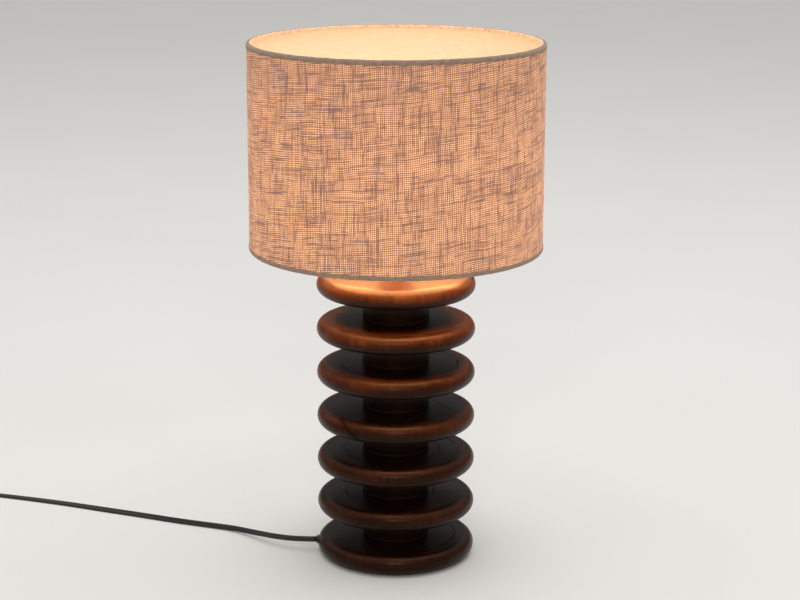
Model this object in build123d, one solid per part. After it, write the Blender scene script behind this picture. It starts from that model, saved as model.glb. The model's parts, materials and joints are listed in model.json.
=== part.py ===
from build123d import *
import math
import os

# A table lamp: seven turned discs on a threaded tube, a drum shade, and a flex with a switch.
# The lamp's axis is Z, it stands on Z = 0, and the flex leaves it towards -X.

# Fits and clearances
thread_gap = 0.05
running_gap = 0.3
pivot_gap = 0.05
glue_gap = 0.05
wood_bore_gap = 0.2
ring_gap = 0.2
flex_hole_gap = 0.1

# Share of a run that the round of each of its corners takes up
corner_share = 0.45
same_direction = 1e-9

# Turned discs and necks
disc_count = 7
disc_diameter = 164.0
disc_thickness = 20.5
neck_diameter = 69.0
neck_height = 26.3
neck_edge_round = 0.8
felt_diameter = 136.0
felt_thickness = 1.5

# Room for the fixings under the bottom disc
recess_diameter = 56.0
recess_flex_room = 0.3
nut_pocket_diameter = 26.0
nut_pocket_depth = 2.55

# Threaded tube and its fixings
tube_diameter = 10.0
tube_bore = 7.6
tube_end_below_nut = 0.5
tube_in_holder = 9.0
washer_thickness = 1.2
bottom_washer_diameter = 24.0
top_washer_diameter = 26.0
nut_width = 14.0
nut_crown_ratio = 1.12
nut_chamfer_ratio = 0.2
bottom_nut_height = 3.5
top_nut_height = 4.5
sleeve_diameter = 12.0
sleeve_gap = 0.2
sleeve_height = 16.0

# Flex, its bush in the bottom disc and its grip in the recess
flex_width = 6.0
bush_diameter = 8.0
bush_length = 14.0
bush_flange_diameter = 9.5
bush_flange_thickness = 1.6
grip_length = 8.0
grip_width = 24.0
grip_wall = 2.0
grip_distance = 20.0
grip_screw_spacing = 16.0
grip_screw_diameter = 3.0
grip_screw_length = 13.0
grip_screw_head_diameter = 5.4
grip_screw_head_height = 1.6
flex_bend_radius = 5.0
flex_dip_radius = 6.0
flex_above_tube = 1.5

# Lampholder
holder_cap_height = 23.0
holder_flare_height = 14.0
holder_cap_foot_diameter = 24.0
holder_cap_diameter = 43.0
holder_cavity_diameter = 30.0
holder_spigot_diameter = 38.0
holder_spigot_length = 5.0
holder_spigot_gap = 0.2
skirt_diameter = 40.0
skirt_height = 35.0
skirt_bore = 27.4
shoulder_diameter = 46.0
shoulder_thickness = 2.5
insert_diameter = 33.6
insert_height = 8.0
insert_gap = 0.2
centre_contact_height = 3.0
centre_contact_length = 12.0
contact_width = 5.0
contact_thickness = 0.8
side_contact_radius = 11.8
terminal_length = 6.0
terminal_width = 7.0
terminal_height = 8.0
terminal_distance = 9.0
terminal_screw_diameter = 3.0
terminal_screw_length = 4.5
terminal_screw_head_diameter = 5.0
terminal_screw_head_height = 1.6
wire_diameter = 2.0
wire_spacing = 2.6
wire_bend_radius = 1.5

# Bulb
bulb_tip_diameter = 9.0
bulb_tip_height = 1.5
bulb_insulator_diameter = 22.0
bulb_insulator_height = 4.5
bulb_cap_diameter = 26.2
bulb_cap_height = 19.0
bulb_cap_wall = 0.6
bulb_diameter = 60.0
bulb_neck_diameter = 25.0
bulb_glass_height = 82.0
bulb_glass_wall = 1.0
bulb_shoulder_angle = 40.0
bulb_post_diameter = 8.0
filament_count = 4
filament_diameter = 1.8
filament_length = 34.0
filament_circle = 16.0
filament_lift = 13.0
filament_plate_thickness = 0.8
filament_plate_rim = 0.6

# Drum shade
shade_diameter = 300.0
shade_height = 210.8
shade_above_disc = 27.5
cloth_thickness = 0.7
lining_thickness = 0.5
roll_width = 4.4
roll_tuck = 2.4
notch_width = 7.0
spoke_count = 3
spoke_diameter = 3.2
spoke_first_angle = 90.0
spoke_flat_length = 34.0
spoke_slope_length = 30.0
spoke_bend_radius = 8.0
fitter_bore = 41.0
fitter_diameter = 49.0
fitter_thickness = 2.0
clamp_ring_diameter = 48.0
clamp_ring_height = 9.0
clamp_flange_diameter = 54.0
clamp_flange_thickness = 2.2
clamp_rib_count = 24
clamp_rib_diameter = 2.4

# Route of the flex from the bush to the switch: plan place and height of each corner
flex_level_end = -103.0
route_to_switch = [
    (-126.0, 9.0, 10.4),
    (-152.0, 32.0, 6.4),
    (-178.0, 53.5, 3.2),
    (-210.0, 65.0, 3.0),
    (-246.0, 78.0, 3.0),
    (-286.0, 95.0, 3.0),
    (-328.0, 111.5, 3.0),
    (-370.0, 129.0, 3.0),
    (-412.0, 144.0, 3.0),
    (-452.0, 157.0, 3.0),
    (-476.0, 163.5, 3.0),
    (-499.0, 163.0, 3.0),
    (-518.3, 152.5, 3.0),
    (-528.2, 133.0, 3.6),
]
switch_lead = 18.0

# Switch on the flex
switch_x = -528.0
switch_y = 60.0
switch_length = 66.0
switch_width = 26.0
switch_end_width = 20.0
switch_height = 17.0
switch_split_height = 7.0
switch_wall = 1.8
switch_top_round = 3.0
switch_foot_round = 1.2
switch_corner_round = 6.0
window_length = 17.2
window_width = 11.0
rocker_width = 10.4
rocker_top_length = 14.8
rocker_skirt_length = 16.8
rocker_skirt_height = 1.5
rocker_keel_length = 6.0
rocker_keel_depth = 2.5
rocker_rise = 1.2
rocker_dish = 0.9
rocker_angle = 8.0
pivot_height = 11.5
pivot_diameter = 3.0
pivot_overhang = 1.6
ear_thickness = 2.0
ear_length = 6.0
moving_contact_length = 14.0
stub_length = 8.0
clamp_bar_length = 4.0
clamp_bar_width = 14.8
clamp_bar_height = 2.4
clamp_post_diameter = 4.0
clamp_post_spacing = 10.8
clamp_distance = 27.0
switch_terminal_length = 7.0
switch_terminal_width = 6.0
switch_terminal_height = 6.5
switch_terminal_x = 17.0
switch_terminal_y = 5.0
small_screw_diameter = 2.2
small_screw_length = 6.0
small_screw_head_diameter = 3.8
small_screw_head_height = 1.3
boss_diameter = 5.2
boss_x = 13.0
boss_y = -7.6
housing_screw_diameter = 2.6
housing_screw_length = 11.0
housing_screw_head_diameter = 4.6
housing_screw_head_height = 1.4
neutral_wire_y = -3.8

# Coil of the spare flex and the plug at its end
coil_outer_radius = 41.7
coil_gap = 0.7
coil_in_half_turns = 6
coil_out_half_turns = 5
coil_start_y = -40.0
coil_lead_level = 12.0
coil_lead_bow = 1.0
coil_lead_lift = 0.4
coil_lead_end = 14.0
plug_lead_length = 38.0
plug_lead_level = 12.0
plug_lead_end = 11.0
plug_tail_length = 20.0
plug_tail_diameter = 7.4
plug_neck_diameter = 11.0
plug_length = 26.0
plug_width = 35.3
plug_face_width = 26.0
plug_neck_width = 14.0
plug_thickness = 13.7
plug_round = 2.5
plug_rim_round = 2.0
plug_rib_count = 4
plug_rib_depth = 0.9
plug_rib_width = 1.4
pin_spacing = 19.0
pin_diameter = 4.0
pin_length = 19.0
pin_sleeve_diameter = 3.6
pin_sleeve_length = 10.0
pin_core_diameter = 2.6
pin_core_in_body = 6.0
pin_round = 1.2

# Heights of the stack, worked out from the floor upwards
STAND = (Align.CENTER, Align.CENTER, Align.MIN)
HANG = (Align.CENTER, Align.CENTER, Align.MAX)
stack_pitch = disc_thickness + neck_height
stack_foot = felt_thickness
stack_top = stack_foot + disc_thickness + (disc_count - 1) * stack_pitch
flex_height = stack_foot + disc_thickness / 2
recess_ceiling = flex_height + flex_width / 2 + recess_flex_room
nut_pocket_ceiling = recess_ceiling + nut_pocket_depth
bottom_nut_top = nut_pocket_ceiling - washer_thickness
bottom_nut_foot = bottom_nut_top - bottom_nut_height
tube_foot = bottom_nut_foot - tube_end_below_nut
top_nut_foot = stack_top + washer_thickness
sleeve_foot = top_nut_foot + top_nut_height
holder_foot = sleeve_foot + sleeve_height
tube_top = holder_foot + tube_in_holder
holder_joint = holder_foot + holder_cap_height
insert_foot = holder_joint - holder_spigot_length - holder_spigot_gap
insert_top = insert_foot + insert_height
shoulder_top = holder_joint + shoulder_thickness
fitter_foot = shoulder_top + running_gap
clamp_ring_foot = fitter_foot + fitter_thickness + running_gap
bulb_foot = insert_top + centre_contact_height + running_gap
bulb_shell_foot = bulb_foot + bulb_tip_height + bulb_insulator_height
bulb_glass_foot = bulb_shell_foot + bulb_cap_height
shade_foot = stack_top + shade_above_disc
shade_top = shade_foot + shade_height
flex_start = -(disc_diameter / 2 + glue_gap + bush_flange_thickness)

parts = {}


def standing(diameter, height, foot):
    return Pos(0, 0, foot) * Cylinder(diameter / 2, height, align=STAND)


def tube(diameter, bore, height, foot):
    return standing(diameter, height, foot) - standing(bore, height, foot)


def along_x(diameter, length, start=0.0, y=0.0, z=0.0):
    return Pos(start, y, z) * Rot(0, 90, 0) * Cylinder(diameter / 2, length, align=STAND)


def turned(*lines):
    # A turned piece from its half outline, drawn as (radius, height)
    return revolve(make_face(Plane.XZ * (Curve() + list(lines))), Axis.Z)


def hexagon_nut(width, bore, height, foot):
    blank = Pos(0, 0, foot) * extrude(RegularPolygon(width / 2, 6, major_radius=False), height)
    crown = standing(width * nut_crown_ratio, height, foot)
    crown = chamfer(crown.edges().filter_by(GeomType.CIRCLE), height * nut_chamfer_ratio)
    return (blank & crown) - standing(bore, height, foot)


def corner_radii(points):
    radii = []
    for before, corner, after in zip(points, points[1:], points[2:]):
        run_in = Vector(corner) - Vector(before)
        run_out = Vector(after) - Vector(corner)
        half_turn = math.radians(run_in.get_angle(run_out)) / 2
        radii.append(corner_share * min(run_in.length, run_out.length) / math.tan(half_turn))
    return radii


def swept_rod(path, diameter):
    section = Plane(origin=path @ 0, z_dir=path % 0) * Circle(diameter / 2)
    return sweep(section, path)


def report_rod(name, rod, path, diameter):
    expected = math.pi * diameter**2 / 4 * path.length
    print(f"{name}: length {path.length:.1f}, volume {rod.volume:.0f} of {expected:.0f}")


def free_flex(name, points):
    radii = corner_radii(points)
    path = FilletPolyline(*points, radius=radii)
    rod = swept_rod(path, flex_width)
    report_rod(name, rod, path, flex_width)
    print(f"  radii {[round(radius) for radius in radii]}")
    return rod


def biarc(start, start_direction, end, end_direction):
    # Two arcs of equal tangent length that join two points with given directions
    span = end - start
    both = start_direction + end_direction
    spread = 1 - start_direction.dot(end_direction)
    if spread < same_direction:
        reach = span.dot(span) / (2 * span.dot(both))
    else:
        root = math.sqrt(span.dot(both) ** 2 + 2 * spread * span.dot(span))
        reach = (root - span.dot(both)) / (2 * spread)
    first_handle = start + start_direction * reach
    second_handle = end - end_direction * reach
    middle = (first_handle + second_handle) * 0.5
    direction = (second_handle - first_handle).normalized()
    return [
        TangentArc(start, middle, tangent=start_direction),
        TangentArc(middle, end, tangent=direction),
    ]


# The wooden stack
def disc(foot):
    flat_radius = disc_diameter / 2 - disc_thickness / 2
    bore_radius = tube_diameter / 2 + wood_bore_gap
    top = foot + disc_thickness
    rim = (disc_diameter / 2, foot + disc_thickness / 2)
    return turned(
        Polyline((flat_radius, foot), (bore_radius, foot), (bore_radius, top), (flat_radius, top)),
        ThreePointArc((flat_radius, top), rim, (flat_radius, foot)),
    )


def neck(foot):
    body = standing(neck_diameter, neck_height, foot)
    body = fillet(body.edges().filter_by(GeomType.CIRCLE), neck_edge_round)
    return body - standing(tube_diameter + 2 * wood_bore_gap, neck_height, foot)


def bottom_disc():
    body = disc(stack_foot)
    body -= standing(recess_diameter, recess_ceiling - stack_foot, stack_foot)
    body -= standing(nut_pocket_diameter, nut_pocket_ceiling - stack_foot, stack_foot)
    flex_hole = flex_width + 2 * flex_hole_gap
    body -= along_x(flex_hole, disc_diameter / 2, -disc_diameter / 2, z=flex_height)
    bush_hole = bush_diameter + 2 * glue_gap
    body -= along_x(bush_hole, bush_length, -disc_diameter / 2, z=flex_height)
    for place in grip_screw_places():
        pilot = grip_screw_diameter + 2 * thread_gap
        body -= place * Pos(0, 0, grip_foot) * Cylinder(pilot / 2, grip_screw_length, align=STAND)
    return body


grip_foot = flex_height - flex_width / 2 - grip_wall


def grip_screw_places():
    return [Pos(-grip_distance, side * grip_screw_spacing / 2) for side in (-1, 1)]


def flex_grip():
    height = recess_ceiling - grip_foot
    body = Pos(-grip_distance, 0, grip_foot) * Box(grip_length, grip_width, height, align=STAND)
    body = fillet(body.edges().filter_by(Axis.Z), grip_wall)
    channel = flex_width + 2 * flex_hole_gap
    start = -grip_distance - grip_length / 2
    body -= along_x(channel, grip_length, start, z=flex_height)
    slot_height = recess_ceiling - flex_height
    body -= Pos(-grip_distance, 0, flex_height) * Box(grip_length, channel, slot_height, align=STAND)
    for place in grip_screw_places():
        hole = grip_screw_diameter / 2 + thread_gap
        body -= place * Pos(0, 0, grip_foot) * Cylinder(hole, height, align=STAND)
    return body


def screw(diameter, length, head_diameter, head_height):
    # The head hangs below the origin, and the shank stands on it
    shank = Cylinder(diameter / 2, length, align=STAND)
    shank = chamfer(shank.edges().sort_by(Axis.Z)[-1], diameter / 4)
    head = Cylinder(head_diameter / 2, head_height, align=HANG)
    head = fillet(head.edges().sort_by(Axis.Z)[0], head_height / 2)
    slot = Pos(0, 0, -head_height) * Box(head_diameter, diameter / 4, head_height / 2, align=STAND)
    return shank + head - slot


def flex_bush():
    body = along_x(bush_diameter, bush_length, -disc_diameter / 2 - glue_gap, z=flex_height)
    flange = along_x(bush_flange_diameter, bush_flange_thickness, flex_start, z=flex_height)
    flange = fillet(flange.edges().sort_by(Axis.X)[0], bush_flange_thickness / 2)
    bore = flex_width + 2 * flex_hole_gap
    return body + flange - along_x(bore, bush_length + bush_flange_thickness, flex_start, z=flex_height)


def flex_inside():
    dip_height = tube_foot - running_gap - flex_width / 2 - running_gap
    dip_start = -grip_distance + grip_length / 2 + grip_wall
    dip_end = -(flex_bend_radius + flex_dip_radius / 2)
    path = FilletPolyline(
        (flex_start, 0, flex_height),
        (dip_start, 0, flex_height),
        (dip_end, 0, dip_height),
        (0, 0, dip_height),
        (0, 0, tube_top + flex_above_tube),
        radius=[flex_dip_radius, flex_dip_radius, flex_bend_radius],
    )
    rod = swept_rod(path, flex_width)
    report_rod("flex_inside", rod, path, flex_width)
    return rod


for index in range(disc_count - 1):
    number = index + 1
    foot = stack_top - disc_thickness - index * stack_pitch
    parts[f"disc_{number}"] = disc(foot)
    parts[f"neck_{number}"] = neck(foot - neck_height)
parts[f"disc_{disc_count}"] = bottom_disc()
parts["felt_pad"] = standing(felt_diameter, felt_thickness, 0)

# The threaded tube and what it clamps
nut_bore = tube_diameter + 2 * thread_gap
parts["threaded_tube"] = tube(tube_diameter, tube_bore, tube_top - tube_foot, tube_foot)
parts["bottom_washer"] = tube(bottom_washer_diameter, nut_bore, washer_thickness, bottom_nut_top)
parts["bottom_nut"] = hexagon_nut(nut_width, nut_bore, bottom_nut_height, bottom_nut_foot)
parts["top_washer"] = tube(top_washer_diameter, nut_bore, washer_thickness, stack_top)
parts["top_nut"] = hexagon_nut(nut_width, nut_bore, top_nut_height, top_nut_foot)
sleeve_bore = tube_diameter + 2 * sleeve_gap
parts["tube_sleeve"] = tube(sleeve_diameter, sleeve_bore, sleeve_height, sleeve_foot)
parts["flex_bush"] = flex_bush()
parts["flex_grip"] = flex_grip()
grip_screw = screw(
    grip_screw_diameter, grip_screw_length, grip_screw_head_diameter, grip_screw_head_height
)
parts["flex_grip_screws"] = Compound(
    children=[place * Pos(0, 0, grip_foot) * grip_screw for place in grip_screw_places()]
)
parts["flex_inside"] = flex_inside()


# The lampholder
def holder_cap():
    foot_radius = holder_cap_foot_diameter / 2
    top_radius = holder_cap_diameter / 2
    flare_top = holder_foot + holder_flare_height
    inner_radius = holder_spigot_diameter / 2 + holder_spigot_gap
    return turned(
        TangentArc((top_radius, flare_top), (foot_radius, holder_foot), tangent=(0, -1)),
        Polyline(
            (top_radius, flare_top),
            (top_radius, holder_joint),
            (inner_radius, holder_joint),
            (inner_radius, insert_foot),
            (holder_cavity_diameter / 2, insert_foot),
            (holder_cavity_diameter / 2, tube_top),
            (nut_bore / 2, tube_top),
            (nut_bore / 2, holder_foot),
            (foot_radius, holder_foot),
        ),
    )


def holder_skirt():
    body = standing(holder_spigot_diameter, holder_spigot_length, holder_joint - holder_spigot_length)
    body += standing(shoulder_diameter, shoulder_thickness, holder_joint)
    body += standing(skirt_diameter, skirt_height, holder_joint)
    body = chamfer(body.edges().sort_by(Axis.Z)[-1], shoulder_thickness / 3)
    seat_bore = insert_diameter + 2 * insert_gap
    seat_height = insert_top + insert_gap - (holder_joint - holder_spigot_length)
    body -= standing(seat_bore, seat_height, holder_joint - holder_spigot_length)
    return body - standing(skirt_bore, skirt_height, holder_joint)


def centre_contact():
    half = centre_contact_length / 2
    arch = ThreePointArc((-half, 0), (0, centre_contact_height - contact_thickness), (half, 0))
    leaf = make_face(
        Curve()
        + [
            arch,
            Line((half, 0), (half, contact_thickness)),
            ThreePointArc((half, contact_thickness), (0, centre_contact_height), (-half, contact_thickness)),
            Line((-half, contact_thickness), (-half, 0)),
        ]
    )
    return Pos(0, 0, insert_top) * extrude(Plane.XZ * leaf, contact_width / 2, both=True)


def side_contact():
    height = bulb_shell_foot - running_gap - insert_top
    foot_length = contact_width
    upright = Pos(0, side_contact_radius, insert_top) * Box(
        contact_width, contact_thickness, height, align=(Align.CENTER, Align.MIN, Align.MIN)
    )
    foot = Pos(0, side_contact_radius + contact_thickness, insert_top) * Box(
        contact_width, foot_length, contact_thickness, align=(Align.CENTER, Align.MAX, Align.MIN)
    )
    return upright + foot


def holder_terminal(side):
    block = Pos(side * terminal_distance, 0, insert_foot) * Box(
        terminal_length, terminal_width, terminal_height, align=HANG
    )
    block = chamfer(block.edges().filter_by(Axis.Z), contact_thickness)
    hole = terminal_screw_diameter / 2 + thread_gap
    return block - holder_screw_place(side) * Cylinder(hole, terminal_screw_length, align=STAND)


def holder_screw_place(side):
    height = insert_foot - terminal_height / 2
    return Pos(side * terminal_distance, terminal_width / 2, height) * Rot(90, 0, 0)


def holder_wire(side):
    bend_height = insert_foot - terminal_height / 2
    path = FilletPolyline(
        (side * wire_spacing / 2, 0, tube_top + flex_above_tube),
        (side * wire_spacing / 2, 0, bend_height),
        (side * (terminal_distance - terminal_length / 2), 0, bend_height),
        radius=[wire_bend_radius],
    )
    return swept_rod(path, wire_diameter)


terminal_screw = screw(
    terminal_screw_diameter,
    terminal_screw_length,
    terminal_screw_head_diameter,
    terminal_screw_head_height,
)
parts["holder_cap"] = holder_cap()
parts["holder_insert"] = standing(insert_diameter, insert_height, insert_foot)
parts["holder_skirt"] = holder_skirt()
parts["centre_contact"] = centre_contact()
parts["side_contact"] = side_contact()
parts["holder_terminals"] = Compound(children=[holder_terminal(side) for side in (-1, 1)])
parts["holder_terminal_screws"] = Compound(
    children=[holder_screw_place(side) * terminal_screw for side in (-1, 1)]
)
parts["holder_wires"] = Compound(children=[holder_wire(side) for side in (-1, 1)])


# The bulb
def bulb_solid(inset):
    radius = bulb_diameter / 2 - inset
    neck_radius = bulb_neck_diameter / 2 - inset
    centre = bulb_glass_foot + bulb_glass_height - bulb_diameter / 2
    angle = math.radians(bulb_shoulder_angle)
    shoulder = (radius * math.cos(angle), centre - radius * math.sin(angle))
    foot = bulb_glass_foot
    return turned(
        Line((0, centre + radius), (0, foot)),
        Line((0, foot), (neck_radius, foot)),
        Spline(
            (neck_radius, foot),
            shoulder,
            tangents=[(0, 1), (math.sin(angle), math.cos(angle))],
        ),
        ThreePointArc(shoulder, (radius, centre), (0, centre + radius)),
    )


def bulb_filaments():
    # A post in the cap carries two plates, and the filaments stand between them
    post_foot = bulb_shell_foot + bulb_cap_wall
    filament_foot = bulb_glass_foot + filament_lift
    filament_top = filament_foot + filament_length
    body = standing(bulb_post_diameter, filament_top - post_foot, post_foot)
    plate_diameter = filament_circle + filament_diameter + 2 * filament_plate_rim
    for plate_foot in (filament_foot - filament_plate_thickness, filament_top):
        body += standing(plate_diameter, filament_plate_thickness, plate_foot)
    for place in PolarLocations(filament_circle / 2, filament_count):
        body += place * standing(filament_diameter, filament_length, filament_foot)
    return body


def bulb_insulator():
    foot = bulb_foot + bulb_tip_height
    cone = Cone(bulb_tip_diameter / 2, bulb_insulator_diameter / 2, bulb_insulator_height, align=STAND)
    return Pos(0, 0, foot) * cone


def bulb_cap():
    body = standing(bulb_cap_diameter, bulb_cap_height, bulb_shell_foot)
    inner = bulb_cap_diameter - 2 * bulb_cap_wall
    return body - standing(inner, bulb_cap_height - bulb_cap_wall, bulb_shell_foot + bulb_cap_wall)


def bulb_tip():
    tip = standing(bulb_tip_diameter, bulb_tip_height, bulb_foot)
    return fillet(tip.edges().sort_by(Axis.Z)[0], bulb_tip_height / 2)


parts["bulb_glass"] = bulb_solid(0) - bulb_solid(bulb_glass_wall)
parts["bulb_filaments"] = bulb_filaments()
parts["bulb_cap"] = bulb_cap()
parts["bulb_insulator"] = bulb_insulator()
parts["bulb_tip"] = bulb_tip()

# The shade
shade_radius = shade_diameter / 2
roll_radius = roll_width / 2
ring_wire_diameter = roll_width - 2 * cloth_thickness - lining_thickness - 2 * ring_gap
ring_radius = shade_radius - cloth_thickness - lining_thickness - ring_gap - ring_wire_diameter / 2


def shade_cloth():
    outer = shade_radius
    inner = shade_radius - cloth_thickness
    tuck_outer = shade_radius - roll_width + cloth_thickness
    tuck_inner = shade_radius - roll_width
    middle = shade_radius - roll_radius
    low = shade_foot + roll_radius
    high = shade_top - roll_radius
    body = turned(
        Line((outer, low), (outer, high)),
        ThreePointArc((outer, high), (middle, shade_top), (tuck_inner, high)),
        Polyline(
            (tuck_inner, high),
            (tuck_inner, high - roll_tuck),
            (tuck_outer, high - roll_tuck),
            (tuck_outer, high),
        ),
        ThreePointArc((tuck_outer, high), (middle, shade_top - cloth_thickness), (inner, high)),
        Line((inner, high), (inner, low)),
        ThreePointArc((inner, low), (middle, shade_foot + cloth_thickness), (tuck_outer, low)),
        Polyline(
            (tuck_outer, low),
            (tuck_outer, low + roll_tuck),
            (tuck_inner, low + roll_tuck),
            (tuck_inner, low),
        ),
        ThreePointArc((tuck_inner, low), (middle, shade_foot), (outer, low)),
    )
    for turn in spoke_turns():
        notch_foot = low - spoke_diameter / 2 - running_gap
        notch = Pos(middle - roll_radius, 0, notch_foot) * Box(
            roll_width, notch_width, 2 * roll_width, align=STAND
        )
        body -= turn * notch
    return body


def spoke_turns():
    step = 360 / spoke_count
    return [Rot(0, 0, spoke_first_angle + index * step) for index in range(spoke_count)]


def shade_spoke():
    ring_height = shade_foot + roll_radius
    fitter_height = fitter_foot + fitter_thickness - spoke_diameter / 2
    start = ring_radius
    flat_end = start - spoke_flat_length
    slope_end = flat_end - spoke_slope_length
    path = FilletPolyline(
        (start, 0, ring_height),
        (flat_end, 0, ring_height),
        (slope_end, 0, fitter_height),
        (fitter_bore / 2, 0, fitter_height),
        radius=[spoke_bend_radius, spoke_bend_radius],
    )
    rod = swept_rod(path, spoke_diameter)
    cutter = standing(fitter_diameter, 2 * spoke_diameter, fitter_height - spoke_diameter)
    return rod - ring_wire(ring_height) - cutter


def ring_wire(height):
    return Pos(0, 0, height) * Torus(ring_radius, ring_wire_diameter / 2)


def shade_clamp_ring():
    bore = skirt_diameter + 2 * running_gap
    body = tube(clamp_ring_diameter, bore, clamp_ring_height, clamp_ring_foot)
    body += tube(clamp_flange_diameter, bore, clamp_flange_thickness, clamp_ring_foot)
    rib = standing(clamp_rib_diameter, clamp_ring_height, clamp_ring_foot)
    for place in PolarLocations(clamp_ring_diameter / 2, clamp_rib_count):
        body += place * rib
    return body


parts["shade_cloth"] = shade_cloth()
lining_outer = shade_diameter - 2 * cloth_thickness
parts["shade_lining"] = tube(
    lining_outer, lining_outer - 2 * lining_thickness, shade_height - roll_width, shade_foot + roll_radius
)
parts["shade_top_ring"] = ring_wire(shade_top - roll_radius)
parts["shade_bottom_ring"] = ring_wire(shade_foot + roll_radius)
spoke = shade_spoke()
parts["shade_spokes"] = Compound(children=[turn * spoke for turn in spoke_turns()])
parts["shade_fitter"] = tube(fitter_diameter, fitter_bore, fitter_thickness, fitter_foot)
parts["shade_clamp_ring"] = shade_clamp_ring()

# The switch, drawn with its length along X and then turned to lie along the flex
switch_place = Pos(switch_x, switch_y, 0) * Rot(0, 0, -90)


def switch_outline(inset):
    end_x = switch_length / 2 - inset
    end_y = switch_end_width / 2 - inset
    side_y = switch_width / 2 - inset
    outline = make_face(
        Curve()
        + [
            ThreePointArc((-end_x, -end_y), (0, -side_y), (end_x, -end_y)),
            Line((end_x, -end_y), (end_x, end_y)),
            ThreePointArc((end_x, end_y), (0, side_y), (-end_x, end_y)),
            Line((-end_x, end_y), (-end_x, -end_y)),
        ]
    )
    return fillet(outline.vertices(), switch_corner_round - inset)


def switch_shell():
    body = extrude(switch_outline(0), switch_height)
    body = fillet(body.faces().sort_by(Axis.Z)[-1].edges(), switch_top_round)
    body = fillet(body.faces().sort_by(Axis.Z)[0].edges(), switch_foot_round)
    room = switch_height - 2 * switch_wall
    body -= Pos(0, 0, switch_wall) * extrude(switch_outline(switch_wall), room)
    hole = flex_width + 2 * flex_hole_gap
    return body - along_x(hole, switch_length, -switch_length / 2, z=switch_split_height)


def clamp_places():
    return [
        Pos(side * clamp_distance, edge * clamp_post_spacing / 2)
        for side in (-1, 1)
        for edge in (-1, 1)
    ]


def boss_places():
    return [Pos(side * boss_x, boss_y) for side in (-1, 1)]


clamp_bar_foot = switch_split_height + flex_width / 2 + glue_gap


def switch_base():
    cutter = Box(switch_length, switch_width, switch_split_height, align=STAND)
    body = switch_shell() & cutter
    for place in clamp_places():
        post = Cylinder(clamp_post_diameter / 2, clamp_bar_foot - switch_wall, align=STAND)
        hole = Cylinder(small_screw_diameter / 2 + thread_gap, small_screw_length, align=HANG)
        body += place * Pos(0, 0, switch_wall) * post
        body -= place * Pos(0, 0, clamp_bar_foot) * hole
    for place in boss_places():
        collar = Cylinder(boss_diameter / 2, switch_split_height - switch_wall - running_gap, align=STAND)
        body += place * Pos(0, 0, switch_wall) * collar
        hole = housing_screw_diameter / 2 + thread_gap
        body -= place * Cylinder(hole, switch_split_height, align=STAND)
        sink = housing_screw_head_diameter / 2 + thread_gap
        body -= place * Cylinder(sink, housing_screw_head_height, align=STAND)
    return body


def switch_cover():
    height = switch_height - switch_split_height
    cutter = Pos(0, 0, switch_split_height) * Box(switch_length, switch_width, height, align=STAND)
    body = switch_shell() & cutter
    ceiling = switch_height - switch_wall
    body -= Pos(0, 0, ceiling) * Box(window_length, window_width, switch_wall, align=STAND)
    for side in (-1, 1):
        ear_y = side * (window_width + ear_thickness) / 2
        ear_foot = pivot_height - pivot_diameter
        ear = Pos(0, ear_y, ear_foot) * Box(ear_length, ear_thickness, ceiling - ear_foot, align=STAND)
        body += fillet(ear.edges().filter_by(Axis.Y).sort_by(Axis.Z)[:2], pivot_diameter / 2)
    pivot_hole = pivot_diameter / 2 + pivot_gap
    body -= Pos(0, 0, pivot_height) * Rot(90, 0, 0) * Cylinder(pivot_hole, window_width + 2 * ear_thickness)
    for place in boss_places():
        boss_foot = switch_split_height
        boss = Cylinder(boss_diameter / 2, ceiling - boss_foot, align=STAND)
        hole = Cylinder(housing_screw_diameter / 2 + thread_gap, ceiling - boss_foot, align=STAND)
        body += place * Pos(0, 0, boss_foot) * boss
        body -= place * Pos(0, 0, boss_foot) * hole
    return body


def switch_rocker():
    top = switch_height - pivot_height + rocker_rise
    outline = make_face(
        Polyline(
            (-rocker_top_length / 2, top),
            (0, top - rocker_dish),
            (rocker_top_length / 2, top),
            (rocker_skirt_length / 2, rocker_skirt_height),
            (rocker_keel_length / 2, -rocker_keel_depth),
            (-rocker_keel_length / 2, -rocker_keel_depth),
            (-rocker_skirt_length / 2, rocker_skirt_height),
            close=True,
        )
    )
    body = extrude(Plane.XZ * outline, rocker_width / 2, both=True)
    top_ends = body.edges().filter_by(Axis.Y).sort_by(Axis.Z)[-2:]
    body = fillet(top_ends, rocker_dish)
    body += Rot(90, 0, 0) * Cylinder(pivot_diameter / 2, rocker_width + 2 * pivot_overhang)
    return rocker_pose() * body


def moving_contact():
    strip = Box(moving_contact_length, contact_width, contact_thickness, align=HANG)
    return rocker_pose() * Pos(0, 0, -rocker_keel_depth) * strip


def rocker_pose():
    return Pos(0, 0, pivot_height) * Rot(0, rocker_angle, 0)


def contact_top():
    # Height of the lowest corner of the moving contact, over the fixed one
    angle = math.radians(rocker_angle)
    depth = rocker_keel_depth + contact_thickness
    reach = moving_contact_length / 2
    return pivot_height - depth * math.cos(angle) - reach * math.sin(angle)


def switch_terminal(side):
    block = Pos(side * switch_terminal_x, switch_terminal_y, switch_wall) * Box(
        switch_terminal_length, switch_terminal_width, switch_terminal_height, align=STAND
    )
    block = chamfer(block.edges().filter_by(Axis.Z), contact_thickness)
    hole = Cylinder(small_screw_diameter / 2 + thread_gap, small_screw_length, align=HANG)
    block -= Pos(side * switch_terminal_x, switch_terminal_y, switch_terminal_top) * hole
    return block


switch_terminal_top = switch_wall + switch_terminal_height


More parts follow.
